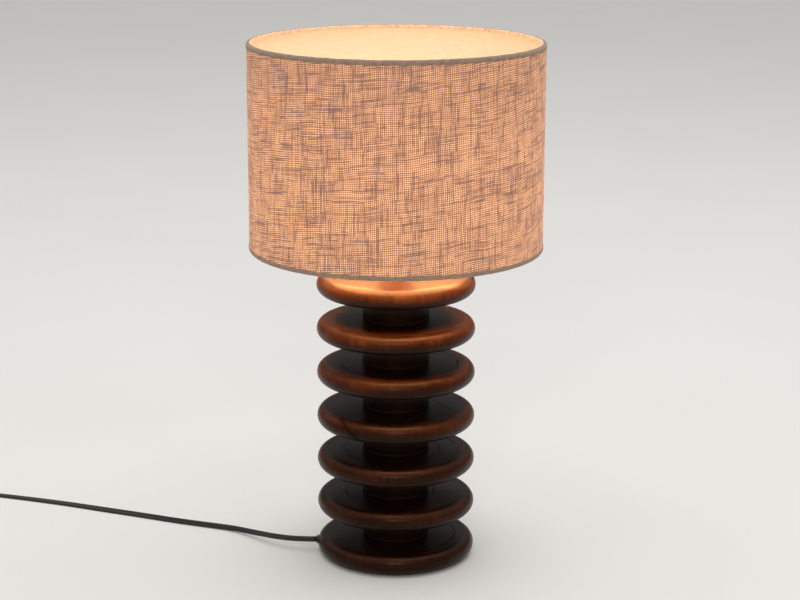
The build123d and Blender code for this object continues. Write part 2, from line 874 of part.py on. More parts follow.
def fixed_contact():
    # A bent strip from the terminal to the pressed end of the moving contact
    top = contact_top() - running_gap
    inner_x = moving_contact_length / 2 - contact_thickness * 2
    outer_x = switch_terminal_x - switch_terminal_length / 2
    tongue = Pos((inner_x + outer_x) / 2, 0, top) * Box(
        outer_x - inner_x, contact_width, contact_thickness, align=HANG
    )
    leg = Pos(outer_x, -contact_width / 2, switch_wall) * Box(
        contact_thickness,
        switch_terminal_y + contact_width / 2,
        top - switch_wall,
        align=(Align.MAX, Align.MIN, Align.MIN),
    )
    return tongue + leg


def switch_wire(points):
    path = FilletPolyline(*points, radius=[wire_bend_radius] * (len(points) - 2))
    return swept_rod(path, wire_diameter)


def switch_wires():
    stub_end = switch_length / 2 - stub_length
    terminal_face = switch_terminal_x + switch_terminal_length / 2
    side_y = wire_spacing / 2
    low = switch_wall + wire_diameter / 2 + glue_gap
    knee = stub_end - wire_diameter * 1.5
    wires = []
    for side in (-1, 1):
        wire = switch_wire(
            [
                (side * stub_end, side_y, switch_split_height),
                (side * (stub_end - wire_diameter), side_y, switch_split_height),
                (side * terminal_face, switch_terminal_y, switch_split_height - wire_diameter),
            ]
        )
        wires.append(wire - switch_terminal(side))
    wires.append(
        switch_wire(
            [
                (-stub_end, -side_y, switch_split_height),
                (-knee, -side_y, switch_split_height),
                (-knee + wire_diameter, neutral_wire_y, low),
                (knee - wire_diameter, neutral_wire_y, low),
                (knee, -side_y, switch_split_height),
                (stub_end, -side_y, switch_split_height),
            ]
        )
    )
    return Compound(children=wires)


def switch_flex_ends():
    stub_start = switch_length / 2 - stub_length
    stubs = [
        along_x(flex_width, stub_length, start, z=switch_split_height)
        for start in (-switch_length / 2, stub_start)
    ]
    return Compound(children=stubs)


def clamp_bar(side):
    bar = Pos(side * clamp_distance, 0, clamp_bar_foot) * Box(
        clamp_bar_length, clamp_bar_width, clamp_bar_height, align=STAND
    )
    bar = fillet(bar.edges().filter_by(Axis.Z), clamp_bar_length / 4)
    for place in clamp_places():
        hole = Cylinder(small_screw_diameter / 2 + thread_gap, clamp_bar_height, align=STAND)
        bar -= place * Pos(0, 0, clamp_bar_foot) * hole
    return bar


def switch_small_screws():
    small_screw = Rot(180, 0, 0) * screw(
        small_screw_diameter, small_screw_length, small_screw_head_diameter, small_screw_head_height
    )
    bar_top = clamp_bar_foot + clamp_bar_height
    screws = [place * Pos(0, 0, bar_top) * small_screw for place in clamp_places()]
    for side in (-1, 1):
        place = Pos(side * switch_terminal_x, switch_terminal_y, switch_terminal_top)
        screws.append(place * small_screw)
    return Compound(children=screws)


def switch_housing_screws():
    housing_screw = screw(
        housing_screw_diameter,
        housing_screw_length,
        housing_screw_head_diameter,
        housing_screw_head_height,
    )
    lift = Pos(0, 0, housing_screw_head_height)
    return Compound(children=[place * lift * housing_screw for place in boss_places()])


parts["switch_base"] = switch_place * switch_base()
parts["switch_cover"] = switch_place * switch_cover()
parts["switch_rocker"] = switch_place * switch_rocker()
parts["switch_moving_contact"] = switch_place * moving_contact()
parts["switch_terminals"] = switch_place * Compound(
    children=[switch_terminal(-1), switch_terminal(1), fixed_contact()]
)
parts["switch_wires"] = switch_place * switch_wires()
parts["switch_flex_ends"] = switch_place * switch_flex_ends()
parts["switch_flex_clamps"] = switch_place * Compound(children=[clamp_bar(-1), clamp_bar(1)])
parts["switch_small_screws"] = switch_place * switch_small_screws()
parts["switch_housing_screws"] = switch_place * switch_housing_screws()

# The free flex, from the bush to the switch, through the coil and on to the plug
switch_near_mouth = (switch_x, switch_y + switch_length / 2, switch_split_height)
switch_far_mouth = (switch_x, switch_y - switch_length / 2, switch_split_height)
coil_pitch = flex_width + coil_gap
coil_centre = Vector(switch_x + coil_outer_radius, coil_start_y, flex_width / 2)


def first_flex_points():
    near_x, near_y, near_z = switch_near_mouth
    points = [(flex_start, 0, flex_height), (flex_level_end, 0, flex_height)]
    points += route_to_switch
    points += [(near_x, near_y + switch_lead, near_z), switch_near_mouth]
    return points


def coil_node(half_turns):
    # Place and direction of the coil's centre line after so many half turns
    climb_end = coil_in_half_turns + 1
    end = climb_end + coil_out_half_turns
    inner_radius = coil_outer_radius - coil_in_half_turns * coil_pitch / 2
    if half_turns <= coil_in_half_turns:
        radius = coil_outer_radius - half_turns * coil_pitch / 2
        height = 0
    else:
        radius = inner_radius + (half_turns - climb_end) * coil_pitch / 2
        height = coil_pitch
    slope = 0
    if 0 < half_turns <= coil_in_half_turns:
        slope = -coil_pitch / 2 / math.pi
    if climb_end <= half_turns < end:
        slope = coil_pitch / 2 / math.pi
    angle = math.pi * (1 + half_turns)
    outward = Vector(math.cos(angle), math.sin(angle), 0)
    forward = Vector(-math.sin(angle), math.cos(angle), 0)
    place = coil_centre + outward * radius + Vector(0, 0, height)
    return place, (forward * radius + outward * slope).normalized()


def coil_path():
    half_turn_count = coil_in_half_turns + 1 + coil_out_half_turns
    nodes = [coil_node(index) for index in range(half_turn_count + 1)]
    first_place, first_direction = nodes[0]
    last_place, last_direction = nodes[-1]
    lines = [Line(first_place - first_direction * flex_width, first_place)]
    for (start, start_direction), (end, end_direction) in zip(nodes, nodes[1:]):
        lines += biarc(start, start_direction, end, end_direction)
    lines.append(Line(last_place, last_place + last_direction * flex_width))
    return Wire([line.edge() for line in lines])


def least_gap_to_itself(path, diameter, steps=900, skip=40):
    samples = [path @ (index / steps) for index in range(steps + 1)]
    least = min(
        (first - second).length
        for index, first in enumerate(samples)
        for second in samples[index + skip :]
    )
    return least - diameter


parts["flex_to_switch"] = free_flex("flex_to_switch", first_flex_points())
coil = coil_path()
parts["flex_coil"] = swept_rod(coil, flex_width)
report_rod("flex_coil", parts["flex_coil"], coil, flex_width)
print(f"  least gap to itself {least_gap_to_itself(coil, flex_width):.2f}")
coil_in = coil @ 0
coil_out = coil @ 1
far_mouth_x, far_mouth_y, far_mouth_z = switch_far_mouth
parts["flex_to_coil"] = free_flex(
    "flex_to_coil",
    [
        switch_far_mouth,
        (far_mouth_x, far_mouth_y - coil_lead_level, far_mouth_z),
        (far_mouth_x - coil_lead_bow, (far_mouth_y + coil_in.Y) / 2, coil_in.Z + coil_lead_lift),
        (far_mouth_x, coil_in.Y + coil_lead_end, coil_in.Z),
        (coil_in.X, coil_in.Y, coil_in.Z),
    ],
)
plug_tail_y = coil_out.Y - plug_lead_length
plug_height = plug_thickness / 2
parts["flex_to_plug"] = free_flex(
    "flex_to_plug",
    [
        (coil_out.X, coil_out.Y, coil_out.Z),
        (coil_out.X, coil_out.Y - plug_lead_level, coil_out.Z),
        (coil_out.X, plug_tail_y + plug_lead_end, plug_height),
        (coil_out.X, plug_tail_y, plug_height),
    ],
)

# The plug, drawn with its pins towards +X and then turned to lie along the flex
plug_place = Pos(coil_out.X, plug_tail_y, plug_height) * Rot(0, 0, -90)


def plug_body():
    front = plug_tail_length + plug_length
    shoulder = plug_tail_length + (plug_width - plug_neck_width) / 2
    cheek = front - (plug_width - plug_face_width) / 2
    outline = make_face(
        Polyline(
            (plug_tail_length, -plug_neck_width / 2),
            (shoulder, -plug_width / 2),
            (cheek, -plug_width / 2),
            (front, -plug_face_width / 2),
            (front, plug_face_width / 2),
            (cheek, plug_width / 2),
            (shoulder, plug_width / 2),
            (plug_tail_length, plug_neck_width / 2),
            close=True,
        )
    )
    body = extrude(outline, plug_thickness / 2, both=True)
    body = fillet(body.edges().filter_by(Axis.Z), plug_round)
    rim = body.faces().filter_by(Axis.Z).edges()
    body = fillet(rim, plug_rim_round)
    tail = Rot(0, 90, 0) * Cone(
        plug_tail_diameter / 2, plug_neck_diameter / 2, plug_tail_length + plug_round, align=STAND
    )
    rib_step = plug_tail_length / (plug_rib_count + 1)
    for index in range(plug_rib_count):
        x = rib_step * (index + 1) - plug_rib_width / 2
        outer = along_x(plug_neck_diameter * 2, plug_rib_width, x)
        slope = (plug_neck_diameter - plug_tail_diameter) / plug_tail_length
        core = plug_tail_diameter + slope * x - 2 * plug_rib_depth
        tail -= outer - along_x(core, plug_rib_width, x)
    body += tail
    for side in (-1, 1):
        y = side * pin_spacing / 2
        body += along_x(pin_sleeve_diameter, pin_sleeve_length, front, y)
        core_length = pin_core_in_body + pin_sleeve_length
        body -= along_x(pin_core_diameter, core_length, front - pin_core_in_body, y)
    return body


def plug_pin(side):
    front = plug_tail_length + plug_length
    y = side * pin_spacing / 2
    tip = along_x(pin_diameter, pin_length - pin_sleeve_length, front + pin_sleeve_length, y)
    tip = fillet(tip.edges().sort_by(Axis.X)[-1], pin_round)
    core_length = pin_core_in_body + pin_sleeve_length
    return tip + along_x(pin_core_diameter, core_length, front - pin_core_in_body, y)


parts["plug_body"] = plug_place * plug_body()
parts["plug_pins"] = plug_place * Compound(children=[plug_pin(-1), plug_pin(1)])

os.makedirs("parts", exist_ok=True)
for name, shape in parts.items():
    export_step(shape, f"parts/{name}.step")
print(f"{len(parts)} nodes, total height {shade_top:.1f}")
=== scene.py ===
import json
import math

import bpy
from mathutils import Matrix, Vector, noise


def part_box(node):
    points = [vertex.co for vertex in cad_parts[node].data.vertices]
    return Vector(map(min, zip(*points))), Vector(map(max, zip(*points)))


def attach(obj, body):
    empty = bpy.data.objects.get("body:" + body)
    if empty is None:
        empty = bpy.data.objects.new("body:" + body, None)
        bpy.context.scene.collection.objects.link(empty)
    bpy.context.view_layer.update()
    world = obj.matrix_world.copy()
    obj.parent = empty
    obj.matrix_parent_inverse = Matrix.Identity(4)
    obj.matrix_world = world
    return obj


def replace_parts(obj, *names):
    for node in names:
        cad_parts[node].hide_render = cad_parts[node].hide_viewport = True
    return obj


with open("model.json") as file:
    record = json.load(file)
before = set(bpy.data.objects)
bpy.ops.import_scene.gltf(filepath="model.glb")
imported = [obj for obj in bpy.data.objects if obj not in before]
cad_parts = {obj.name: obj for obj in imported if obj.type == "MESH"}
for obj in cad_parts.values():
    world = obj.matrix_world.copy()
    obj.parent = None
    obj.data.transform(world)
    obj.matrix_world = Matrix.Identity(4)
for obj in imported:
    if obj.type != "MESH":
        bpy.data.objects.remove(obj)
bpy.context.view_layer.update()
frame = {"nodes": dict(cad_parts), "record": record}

# The looks of a lit table lamp: turned wooden discs, a linen drum shade, and a flat twin flex.
# All sizes are in metres, in the lamp's own frame: Z up, and the flex leaves towards -X.

nodes = frame["nodes"]
UP = Vector((0, 0, 1))
QUARTER_TURN = math.pi / 2

# Camera, at the place that the photograph was taken from
CAMERA_PLACE = (0.0399, -2.0486, 0.7899)
CAMERA_YAW = -0.01747
CAMERA_PITCH = 0.24645
CAMERA_ROLL = 0.002
FOCAL_PIXELS = 2047.7
IMAGE_WIDTH = 800
SENSOR_WIDTH = 36.0
VIEW_DEPTH = 50


def make_camera():
    data = bpy.data.cameras.new("camera")
    data.sensor_width = SENSOR_WIDTH
    data.lens = FOCAL_PIXELS / IMAGE_WIDTH * SENSOR_WIDTH
    data.clip_end = VIEW_DEPTH
    camera = bpy.data.objects.new("camera", data)
    bpy.context.scene.collection.objects.link(camera)
    level = math.cos(CAMERA_PITCH)
    forward = Vector(
        (math.sin(CAMERA_YAW) * level, math.cos(CAMERA_YAW) * level, -math.sin(CAMERA_PITCH))
    )
    side = Vector((math.cos(CAMERA_YAW), -math.sin(CAMERA_YAW), 0))
    side = side * math.cos(CAMERA_ROLL) + side.cross(forward) * math.sin(CAMERA_ROLL)
    turn = Matrix((side, side.cross(forward), -forward)).transposed()
    camera.matrix_world = Matrix.Translation(CAMERA_PLACE) @ turn.to_4x4()
    bpy.context.scene.camera = camera
    bpy.context.scene.view_settings.view_transform = "Standard"


make_camera()

# Shader nodes
# A cloud's numbers are its scale, its detail and, where it isn't the usual one, its roughness.
# A fade's numbers are where it starts and ends and, where they aren't 0 and 1, its two values.
# A ramp's stops are places with their colours.
# The sockets of a mix node share their names, so these are their places.
MIX_FACTOR = 0
MIX_COLOURS = (6, 7)
MIX_RESULT = 2


def new_shader(name):
    material = bpy.data.materials.new(name)
    material.use_nodes = True
    tree = material.node_tree
    return material, tree, tree.nodes["Principled BSDF"]


def feed(tree, socket, value):
    if isinstance(value, bpy.types.NodeSocket):
        tree.links.new(value, socket)
    else:
        socket.default_value = value


def add(tree, kind, inputs=None, **settings):
    node = tree.nodes.new(kind)
    for name, value in settings.items():
        setattr(node, name, value)
    for name, value in (inputs or {}).items():
        feed(tree, node.inputs[name], value)
    return node


def calc(tree, operation, *values):
    node = add(tree, "ShaderNodeMath", operation=operation)
    for socket, value in zip(node.inputs, values):
        feed(tree, socket, value)
    return node.outputs[0]


def plus(tree, value, extra, share):
    # The value with a share of the extra one on top
    return calc(tree, "MULTIPLY_ADD", extra, share, value)


def distance(tree, first, second):
    return calc(tree, "ABSOLUTE", calc(tree, "SUBTRACT", first, second))


def length_of(tree, x, y):
    squares = calc(tree, "ADD", calc(tree, "MULTIPLY", x, x), calc(tree, "MULTIPLY", y, y))
    return calc(tree, "SQRT", squares)


def reach_along(tree, u, v, direction):
    # How far a point lies along a direction in the plane of u and v
    along_u = calc(tree, "MULTIPLY", u, direction[0])
    along_v = calc(tree, "MULTIPLY", v, direction[1])
    return calc(tree, "ADD", along_u, along_v)


def fade(tree, value, low, high, from_value=0.0, to_value=1.0):
    # A smooth step from one value to another
    inputs = {
        "Value": value,
        "From Min": low,
        "From Max": high,
        "To Min": from_value,
        "To Max": to_value,
    }
    return add(tree, "ShaderNodeMapRange", inputs, interpolation_type="SMOOTHSTEP").outputs[0]


def combine(tree, x, y, z=0.0):
    return add(tree, "ShaderNodeCombineXYZ", {"X": x, "Y": y, "Z": z}).outputs[0]


def place_of(tree):
    return add(tree, "ShaderNodeTexCoord").outputs["Object"]


def split(tree, vector):
    return add(tree, "ShaderNodeSeparateXYZ", {"Vector": vector}).outputs


def height_of(tree, place):
    return split(tree, place)["Z"]


def stretched(tree, vector, scale):
    node = add(tree, "ShaderNodeVectorMath", operation="MULTIPLY")
    feed(tree, node.inputs[0], vector)
    feed(tree, node.inputs[1], scale)
    return node.outputs[0]


def cloud(tree, vector, scale, detail, roughness=0.5):
    inputs = {"Vector": vector, "Scale": scale, "Detail": detail, "Roughness": roughness}
    return add(tree, "ShaderNodeTexNoise", inputs).outputs[0]


def ramp(tree, factor, *stops):
    node = add(tree, "ShaderNodeValToRGB", {"Fac": factor})
    elements = node.color_ramp.elements
    for element, (place, colour) in zip(elements, (stops[0], stops[-1])):
        element.position = place
        element.color = (*colour, 1)
    for place, colour in stops[1:-1]:
        elements.new(place).color = (*colour, 1)
    return node.outputs[0]


def tint(tree, factor, first, second):
    node = add(tree, "ShaderNodeMix", data_type="RGBA")
    feed(tree, node.inputs[MIX_FACTOR], factor)
    for place, colour in zip(MIX_COLOURS, (first, second)):
        feed(tree, node.inputs[place], (*colour, 1) if isinstance(colour, tuple) else colour)
    return node.outputs[MIX_RESULT]


def roughen(tree, shader, height, depth, strength):
    inputs = {"Height": height, "Distance": depth, "Strength": strength}
    feed(tree, shader.inputs["Normal"], add(tree, "ShaderNodeBump", inputs).outputs[0])


def finish_with(shader, values):
    for name, value in values.items():
        shader.inputs[name].default_value = value


# Wood: a block of its own for each piece, so that no two have the same rings
WOOD_DARK = (0.0062, 0.0019, 0.0008)
WOOD_MIDDLE = (0.0125, 0.0040, 0.0015)
WOOD_LIGHT = (0.026, 0.0088, 0.0031)
WOOD_PORES_AND_MARKS = (0.0020, 0.0009, 0.0006)
WOOD_STOPS = ((0.40, WOOD_DARK), (0.56, WOOD_MIDDLE), (0.74, WOOD_LIGHT))
WOOD_FINISH = {
    "Coat Roughness": 0.24,
    "Specular IOR Level": 0.14,
    "Specular Tint": (1.0, 0.50, 0.32, 1),
}
BLOCK_SHIFTS = (0.004, 0.005)
BLOCK_SHIFT_STEPS = (2.3, 1.7)
BLOCK_RISE = 0.31
BLOCK_LEAN = 0.02
BLOCK_TURN = 1.9
RING_STEP = 0.0085
RING_WANDER = 0.9
WANDER_CLOUD = (14, 3)
FIBRE_STRETCH = (230, 230, 18)
FIBRE_CLOUD = (1, 4, 0.6)
PORE_STRETCH = (900, 900, 70)
PORE_CLOUD = (1, 2, 0.6)
PORE_DARKNESS = (0.62, 0.78, 0.0, 0.30)
PATCH_CLOUD = (22, 3)
FIBRE_SHARE = 0.66
RING_SHARE = 0.09
PATCH_SHARE = 0.34
FIBRE_ROUGHNESS = (0.2, 0.8, 0.34, 0.40)
MARK_ROUGHNESS = 0.35
WOOD_COAT = 0.09
COAT_ON_DARK = (0.3, 0.9, 1.0, 0.25)
COAT_ON_RINGS = (0.1, 0.9, 0.88, 1.06)
PORE_DEPTH = 0.4
MARK_DEPTH = 8.0
WOOD_RELIEF = 0.00003
WOOD_RELIEF_STRENGTH = 0.5

# Marks of single pieces of wood, where the photograph shows them
MARK_CORE = 0.4
RING_MARKS = {"disc_3": (0.061,), "disc_5": (0.068, 0.050), "disc_6": (0.046,), "disc_7": (0.065,)}
RING_MARK_HALF_WIDTH = 0.0021
RING_MARK_WOBBLE = 0.006
WOBBLE_CLOUD = (26, 2)
RING_MARK_FRAY = 0.0022
FRAY_CLOUD = (140, 2)
BREAK_CLOUD = (17, 2)
BREAK_STRENGTH = (0.42, 0.60, 0.0, 0.62)
CRUMBLE_CLOUD = (210, 2)
CRUMBLE_STRENGTH = (0.36, 0.60, 0.25, 1.0)
STREAK_DISC = "disc_4"
STREAK_ACROSS = (0.667, 0.745)
STREAK_PLACE = 0.0840
STREAK_WANDER = 0.004
STREAK_HALF_WIDTH = 0.0030
STREAK_STRENGTH = (-0.058, -0.040, 0.95, 0.0)
CRACK_ACROSS = (0.859, 0.512)
CRACK_PLACE = 0.0400
CRACK_HALF_WIDTH = 0.0008
CRACK_START = 0.032
CRACK_END = 0.062
CRACK_TAPER = 0.004
PALE_DISC = "disc_6"
PALE_COLOUR = (0.060, 0.034, 0.010)
PALE_PLACE = (0.056, 0.012)
PALE_WANDER = 0.02
PALE_CORE = 0.012
PALE_RADIUS = 0.019
PALE_STRENGTH = 0.7

# Painted highlight: a paler line where a neck stands on its disc, for the light that its edge catches there
FOOT_HIGHLIGHT_COLOUR = (0.040, 0.022, 0.015)
FOOT_HIGHLIGHT_RISE = 0.0010
FOOT_HIGHLIGHT_HALF_WIDTH = 0.0010


def block_of(tree, place, number):
    shift_x, shift_y = BLOCK_SHIFTS
    step_x, step_y = BLOCK_SHIFT_STEPS
    spot = (shift_x * math.sin(number * step_x), shift_y * math.cos(number * step_y), number * BLOCK_RISE)
    lean = (BLOCK_LEAN * math.sin(number), BLOCK_LEAN * math.cos(number), number * BLOCK_TURN)
    inputs = {"Vector": place, "Location": spot, "Rotation": lean}
    return add(tree, "ShaderNodeMapping", inputs).outputs[0]


def growth_rings(tree, block, radius):
    # A wave over the radius, from 0 to 1, that wanders as the rings of a tree do
    turns = calc(tree, "MULTIPLY", radius, math.tau / RING_STEP)
    phase = plus(tree, turns, cloud(tree, block, *WANDER_CLOUD), math.tau * RING_WANDER)
    return calc(tree, "MULTIPLY_ADD", calc(tree, "SINE", phase), 0.5, 0.5)


def wood_colour(tree, rings, fibres, patches):
    tone = plus(tree, calc(tree, "MULTIPLY", rings, RING_SHARE), fibres, FIBRE_SHARE)
    return ramp(tree, plus(tree, tone, patches, PATCH_SHARE), *WOOD_STOPS)


def line_at(tree, value, wanted, half_width):
    # 1 where the value is the wanted one, and 0 from half a width away
    return fade(tree, distance(tree, value, wanted), half_width * MARK_CORE, half_width, 1.0, 0.0)


def ring_marks(tree, place, radius, mark_radii):
    # Dark arcs of single rings, frayed and broken
    wobble = plus(tree, radius, cloud(tree, place, *WOBBLE_CLOUD), RING_MARK_WOBBLE)
    wobble = plus(tree, wobble, cloud(tree, place, *FRAY_CLOUD), RING_MARK_FRAY)
    breaks = fade(tree, cloud(tree, place, *BREAK_CLOUD), *BREAK_STRENGTH)
    crumbs = fade(tree, cloud(tree, place, *CRUMBLE_CLOUD), *CRUMBLE_STRENGTH)
    strength = calc(tree, "MULTIPLY", breaks, crumbs)
    marks = 0.0
    for mark_radius in mark_radii:
        middle = mark_radius + (RING_MARK_WOBBLE + RING_MARK_FRAY) / 2
        ring = line_at(tree, wobble, middle, RING_MARK_HALF_WIDTH)
        marks = calc(tree, "MAXIMUM", marks, calc(tree, "MULTIPLY", ring, strength))
    return marks


def dark_streak(tree, place, patches):
    x, y, z = split(tree, place)
    across = plus(tree, reach_along(tree, x, z, STREAK_ACROSS), patches, STREAK_WANDER)
    streak = line_at(tree, across, STREAK_PLACE + STREAK_WANDER / 2, STREAK_HALF_WIDTH)
    return calc(tree, "MULTIPLY", streak, fade(tree, y, *STREAK_STRENGTH))


def short_crack(tree, place):
    x, y, _ = split(tree, place)
    crack = line_at(tree, reach_along(tree, x, y, CRACK_ACROSS), CRACK_PLACE, CRACK_HALF_WIDTH)
    crack = calc(tree, "MULTIPLY", crack, fade(tree, x, CRACK_START, CRACK_START + CRACK_TAPER))
    return calc(tree, "MULTIPLY", crack, fade(tree, x, CRACK_END - CRACK_TAPER, CRACK_END, 1.0, 0.0))


def with_pale_patch(tree, colour, place, patches):
    x, y, _ = split(tree, place)
    off_x = calc(tree, "SUBTRACT", x, PALE_PLACE[0])
    off_y = calc(tree, "SUBTRACT", y, PALE_PLACE[1])
    off = plus(tree, length_of(tree, off_x, off_y), patches, PALE_WANDER)
    strength = fade(tree, off, PALE_CORE, PALE_RADIUS + PALE_CORE, PALE_STRENGTH, 0.0)
    return tint(tree, strength, colour, PALE_COLOUR)


def with_painted_foot_highlight(tree, colour, place, neck):
    # A paler line painted round the neck's foot: a painted highlight of the edge there
    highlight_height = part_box(neck)[0].z + FOOT_HIGHLIGHT_RISE
    line = line_at(tree, height_of(tree, place), highlight_height, FOOT_HIGHLIGHT_HALF_WIDTH)
    return tint(tree, line, colour, FOOT_HIGHLIGHT_COLOUR)


def polish_wood(tree, shader, rings, fibres, marks, dark):
    dull = plus(tree, fade(tree, fibres, *FIBRE_ROUGHNESS), marks, MARK_ROUGHNESS)
    feed(tree, shader.inputs["Roughness"], dull)
    polish = calc(tree, "MULTIPLY", fade(tree, dark, *COAT_ON_DARK), fade(tree, rings, *COAT_ON_RINGS))
    feed(tree, shader.inputs["Coat Weight"], calc(tree, "MULTIPLY", polish, WOOD_COAT))
    finish_with(shader, WOOD_FINISH)


def wood(name, number):
    material, tree, shader = new_shader(f"wood_{name}")
    place = place_of(tree)
    block = block_of(tree, place, number)
    x, y, _ = split(tree, block)
    radius = length_of(tree, x, y)
    rings = growth_rings(tree, block, radius)
    fibres = cloud(tree, stretched(tree, block, FIBRE_STRETCH), *FIBRE_CLOUD)
    pores = cloud(tree, stretched(tree, block, PORE_STRETCH), *PORE_CLOUD)
    patches = cloud(tree, block, *PATCH_CLOUD)
    colour = wood_colour(tree, rings, fibres, patches)
    if name == PALE_DISC:
        colour = with_pale_patch(tree, colour, place, patches)
    if name.startswith("neck_"):
        # Necks get a painted highlight round their foot
        colour = with_painted_foot_highlight(tree, colour, place, name)
    marks = ring_marks(tree, place, radius, RING_MARKS.get(name, ()))
    if name == STREAK_DISC:
        marks = calc(tree, "MAXIMUM", marks, dark_streak(tree, place, patches))
        marks = calc(tree, "MAXIMUM", marks, short_crack(tree, place))
    dark = calc(tree, "MAXIMUM", fade(tree, pores, *PORE_DARKNESS), marks)
    feed(tree, shader.inputs["Base Color"], tint(tree, dark, colour, WOOD_PORES_AND_MARKS))
    polish_wood(tree, shader, rings, fibres, marks, dark)
    relief = plus(tree, plus(tree, fibres, pores, -PORE_DEPTH), marks, -MARK_DEPTH)
    roughen(tree, shader, relief, WOOD_RELIEF, WOOD_RELIEF_STRENGTH)
    return material


# Cloth of the shade, lit from behind
SHADE_RADIUS = 0.15
BULB_HEIGHT = 0.43
THREAD_STEP = 0.0019
WEFT_STEP = 0.00198
WEFT_RISE = 0.085
WEFT_BEND = 0.014
WEFT_BEND_CLOUD = (9, 2)
WEFT_SHIVER = 0.0026
WEFT_SHIVER_CLOUD = (45, 2)
WARP_BEND = 0.0034
WARP_BEND_CLOUD = (22, 2)
WARP_BEND_SEED = 3.0
WARP_SHIVER = 0.0017
WARP_SHIVER_CLOUD = (75, 1)
GAP_EDGES = (0.55, 1.0)

# Slubs: width in threads, length, seed, edge and core of the thick stretch, and thickness
WEFT_SLUBS = (
    (0.55, 0.036, 6.4, 0.585, 0.625, 0.27),
    (0.50, 0.052, 1.7, 0.600, 0.640, 0.24),
    (1.80, 0.050, 5.1, 0.690, 0.750, 0.20),
)
WARP_SLUBS = (
    (0.55, 0.040, 9.2, 0.590, 0.630, 0.29),
    (0.50, 0.050, 2.9, 0.600, 0.640, 0.25),
    (1.70, 0.036, 8.3, 0.680, 0.740, 0.20),
)
SLUB_SPREAD = 7.31
SLUB_CLOUD = (1, 1)

# Light that comes through a thread, and what gaps, holes, unevenness and specks change of it
THREAD_LIGHT = 0.30
GAP_LIGHT = 0.13
HOLE_LIGHT = 0.62
HOLE_CLOUD = (60, 3, 0.6)
HOLE_OPENNESS = (0.30, 0.70, 0.25, 1.0)
UNEVEN_LIGHT = 0.24
UNEVEN_CLOUD = (32, 4, 0.6)
SPECK_LIGHT = 0.35
SPECK_CLOUD = (480, 0)
SPECK_EDGES = (0.79, 0.83)
CLOTH_STOPS = ((0.0, (0.172, 0.130, 0.116)), (0.5, (0.225, 0.140, 0.102)))
SLUB_GLOW = (0.150, 0.052, 0.028)
CLOTH_GLOW = (0.43, 0.155, 0.062)
HOLE_GLOW = (1.9, 0.98, 0.46)
CLOTH_GLOW_STOPS = ((0.0, SLUB_GLOW), (0.42, CLOTH_GLOW), (1.0, HOLE_GLOW))
CLOTH_GLOW_MIDDLE = BULB_HEIGHT - 0.02
CLOTH_GLOW_STRENGTH = 0.96
CLOTH_GLOW_FADE = (0.02, 0.14, CLOTH_GLOW_STRENGTH, 0.82 * CLOTH_GLOW_STRENGTH)
CLOTH_FINISH = {"Roughness": 0.9, "Sheen Weight": 0.1, "Sheen Roughness": 0.5}
CLOTH_RELIEF = 0.0003
CLOTH_RELIEF_STRENGTH = 0.5


def thread_lines(tree, flat, length, height):
    # Values that grow by a step from thread to thread, across the weft and across the warp
    weft = plus(tree, height, length, -WEFT_RISE)
    weft = plus(tree, weft, cloud(tree, flat, *WEFT_BEND_CLOUD), WEFT_BEND)
    weft = plus(tree, weft, cloud(tree, flat, *WEFT_SHIVER_CLOUD), WEFT_SHIVER)
    turned = combine(tree, height, length, WARP_BEND_SEED)
    warp = plus(tree, length, cloud(tree, turned, *WARP_BEND_CLOUD), WARP_BEND)
    warp = plus(tree, warp, cloud(tree, flat, *WARP_SHIVER_CLOUD), WARP_SHIVER)
    return weft, warp


def slub_layer(tree, across, along, width, length, seed, edge, core):
    # Stretches where a thread is thick: across counts the threads, and along runs with them
    thread = calc(tree, "FLOOR", calc(tree, "DIVIDE", across, THREAD_STEP * width))
    spread = plus(tree, seed, thread, SLUB_SPREAD)
    run = combine(tree, calc(tree, "DIVIDE", along, length), spread)
    return fade(tree, cloud(tree, run, *SLUB_CLOUD), edge, core)


def with_slubs(tree, thick, across, along, slubs):
    for *shape, thickness in slubs:
        layer = slub_layer(tree, across, along, *shape)
        thick = calc(tree, "ADD", thick, calc(tree, "MULTIPLY", layer, thickness))
    return thick


def gap_between(tree, across, step):
    # Near 1 between two threads, and 0 on a thread
    wave = calc(tree, "SINE", calc(tree, "MULTIPLY", across, math.pi / step))
    return fade(tree, calc(tree, "ABSOLUTE", wave), *GAP_EDGES)


def light_through(tree, flat, weft_gap, warp_gap, holes, thick):
    open_share = fade(tree, cloud(tree, flat, *HOLE_CLOUD), *HOLE_OPENNESS)
    light = plus(tree, THREAD_LIGHT, calc(tree, "ADD", weft_gap, warp_gap), GAP_LIGHT)
    light = plus(tree, light, calc(tree, "MULTIPLY", holes, open_share), HOLE_LIGHT)
    light = calc(tree, "SUBTRACT", light, UNEVEN_LIGHT / 2)
    light = plus(tree, light, cloud(tree, flat, *UNEVEN_CLOUD), UNEVEN_LIGHT)
    light = calc(tree, "SUBTRACT", light, thick)
    specks = fade(tree, cloud(tree, flat, *SPECK_CLOUD), *SPECK_EDGES)
    return plus(tree, light, specks, -SPECK_LIGHT)


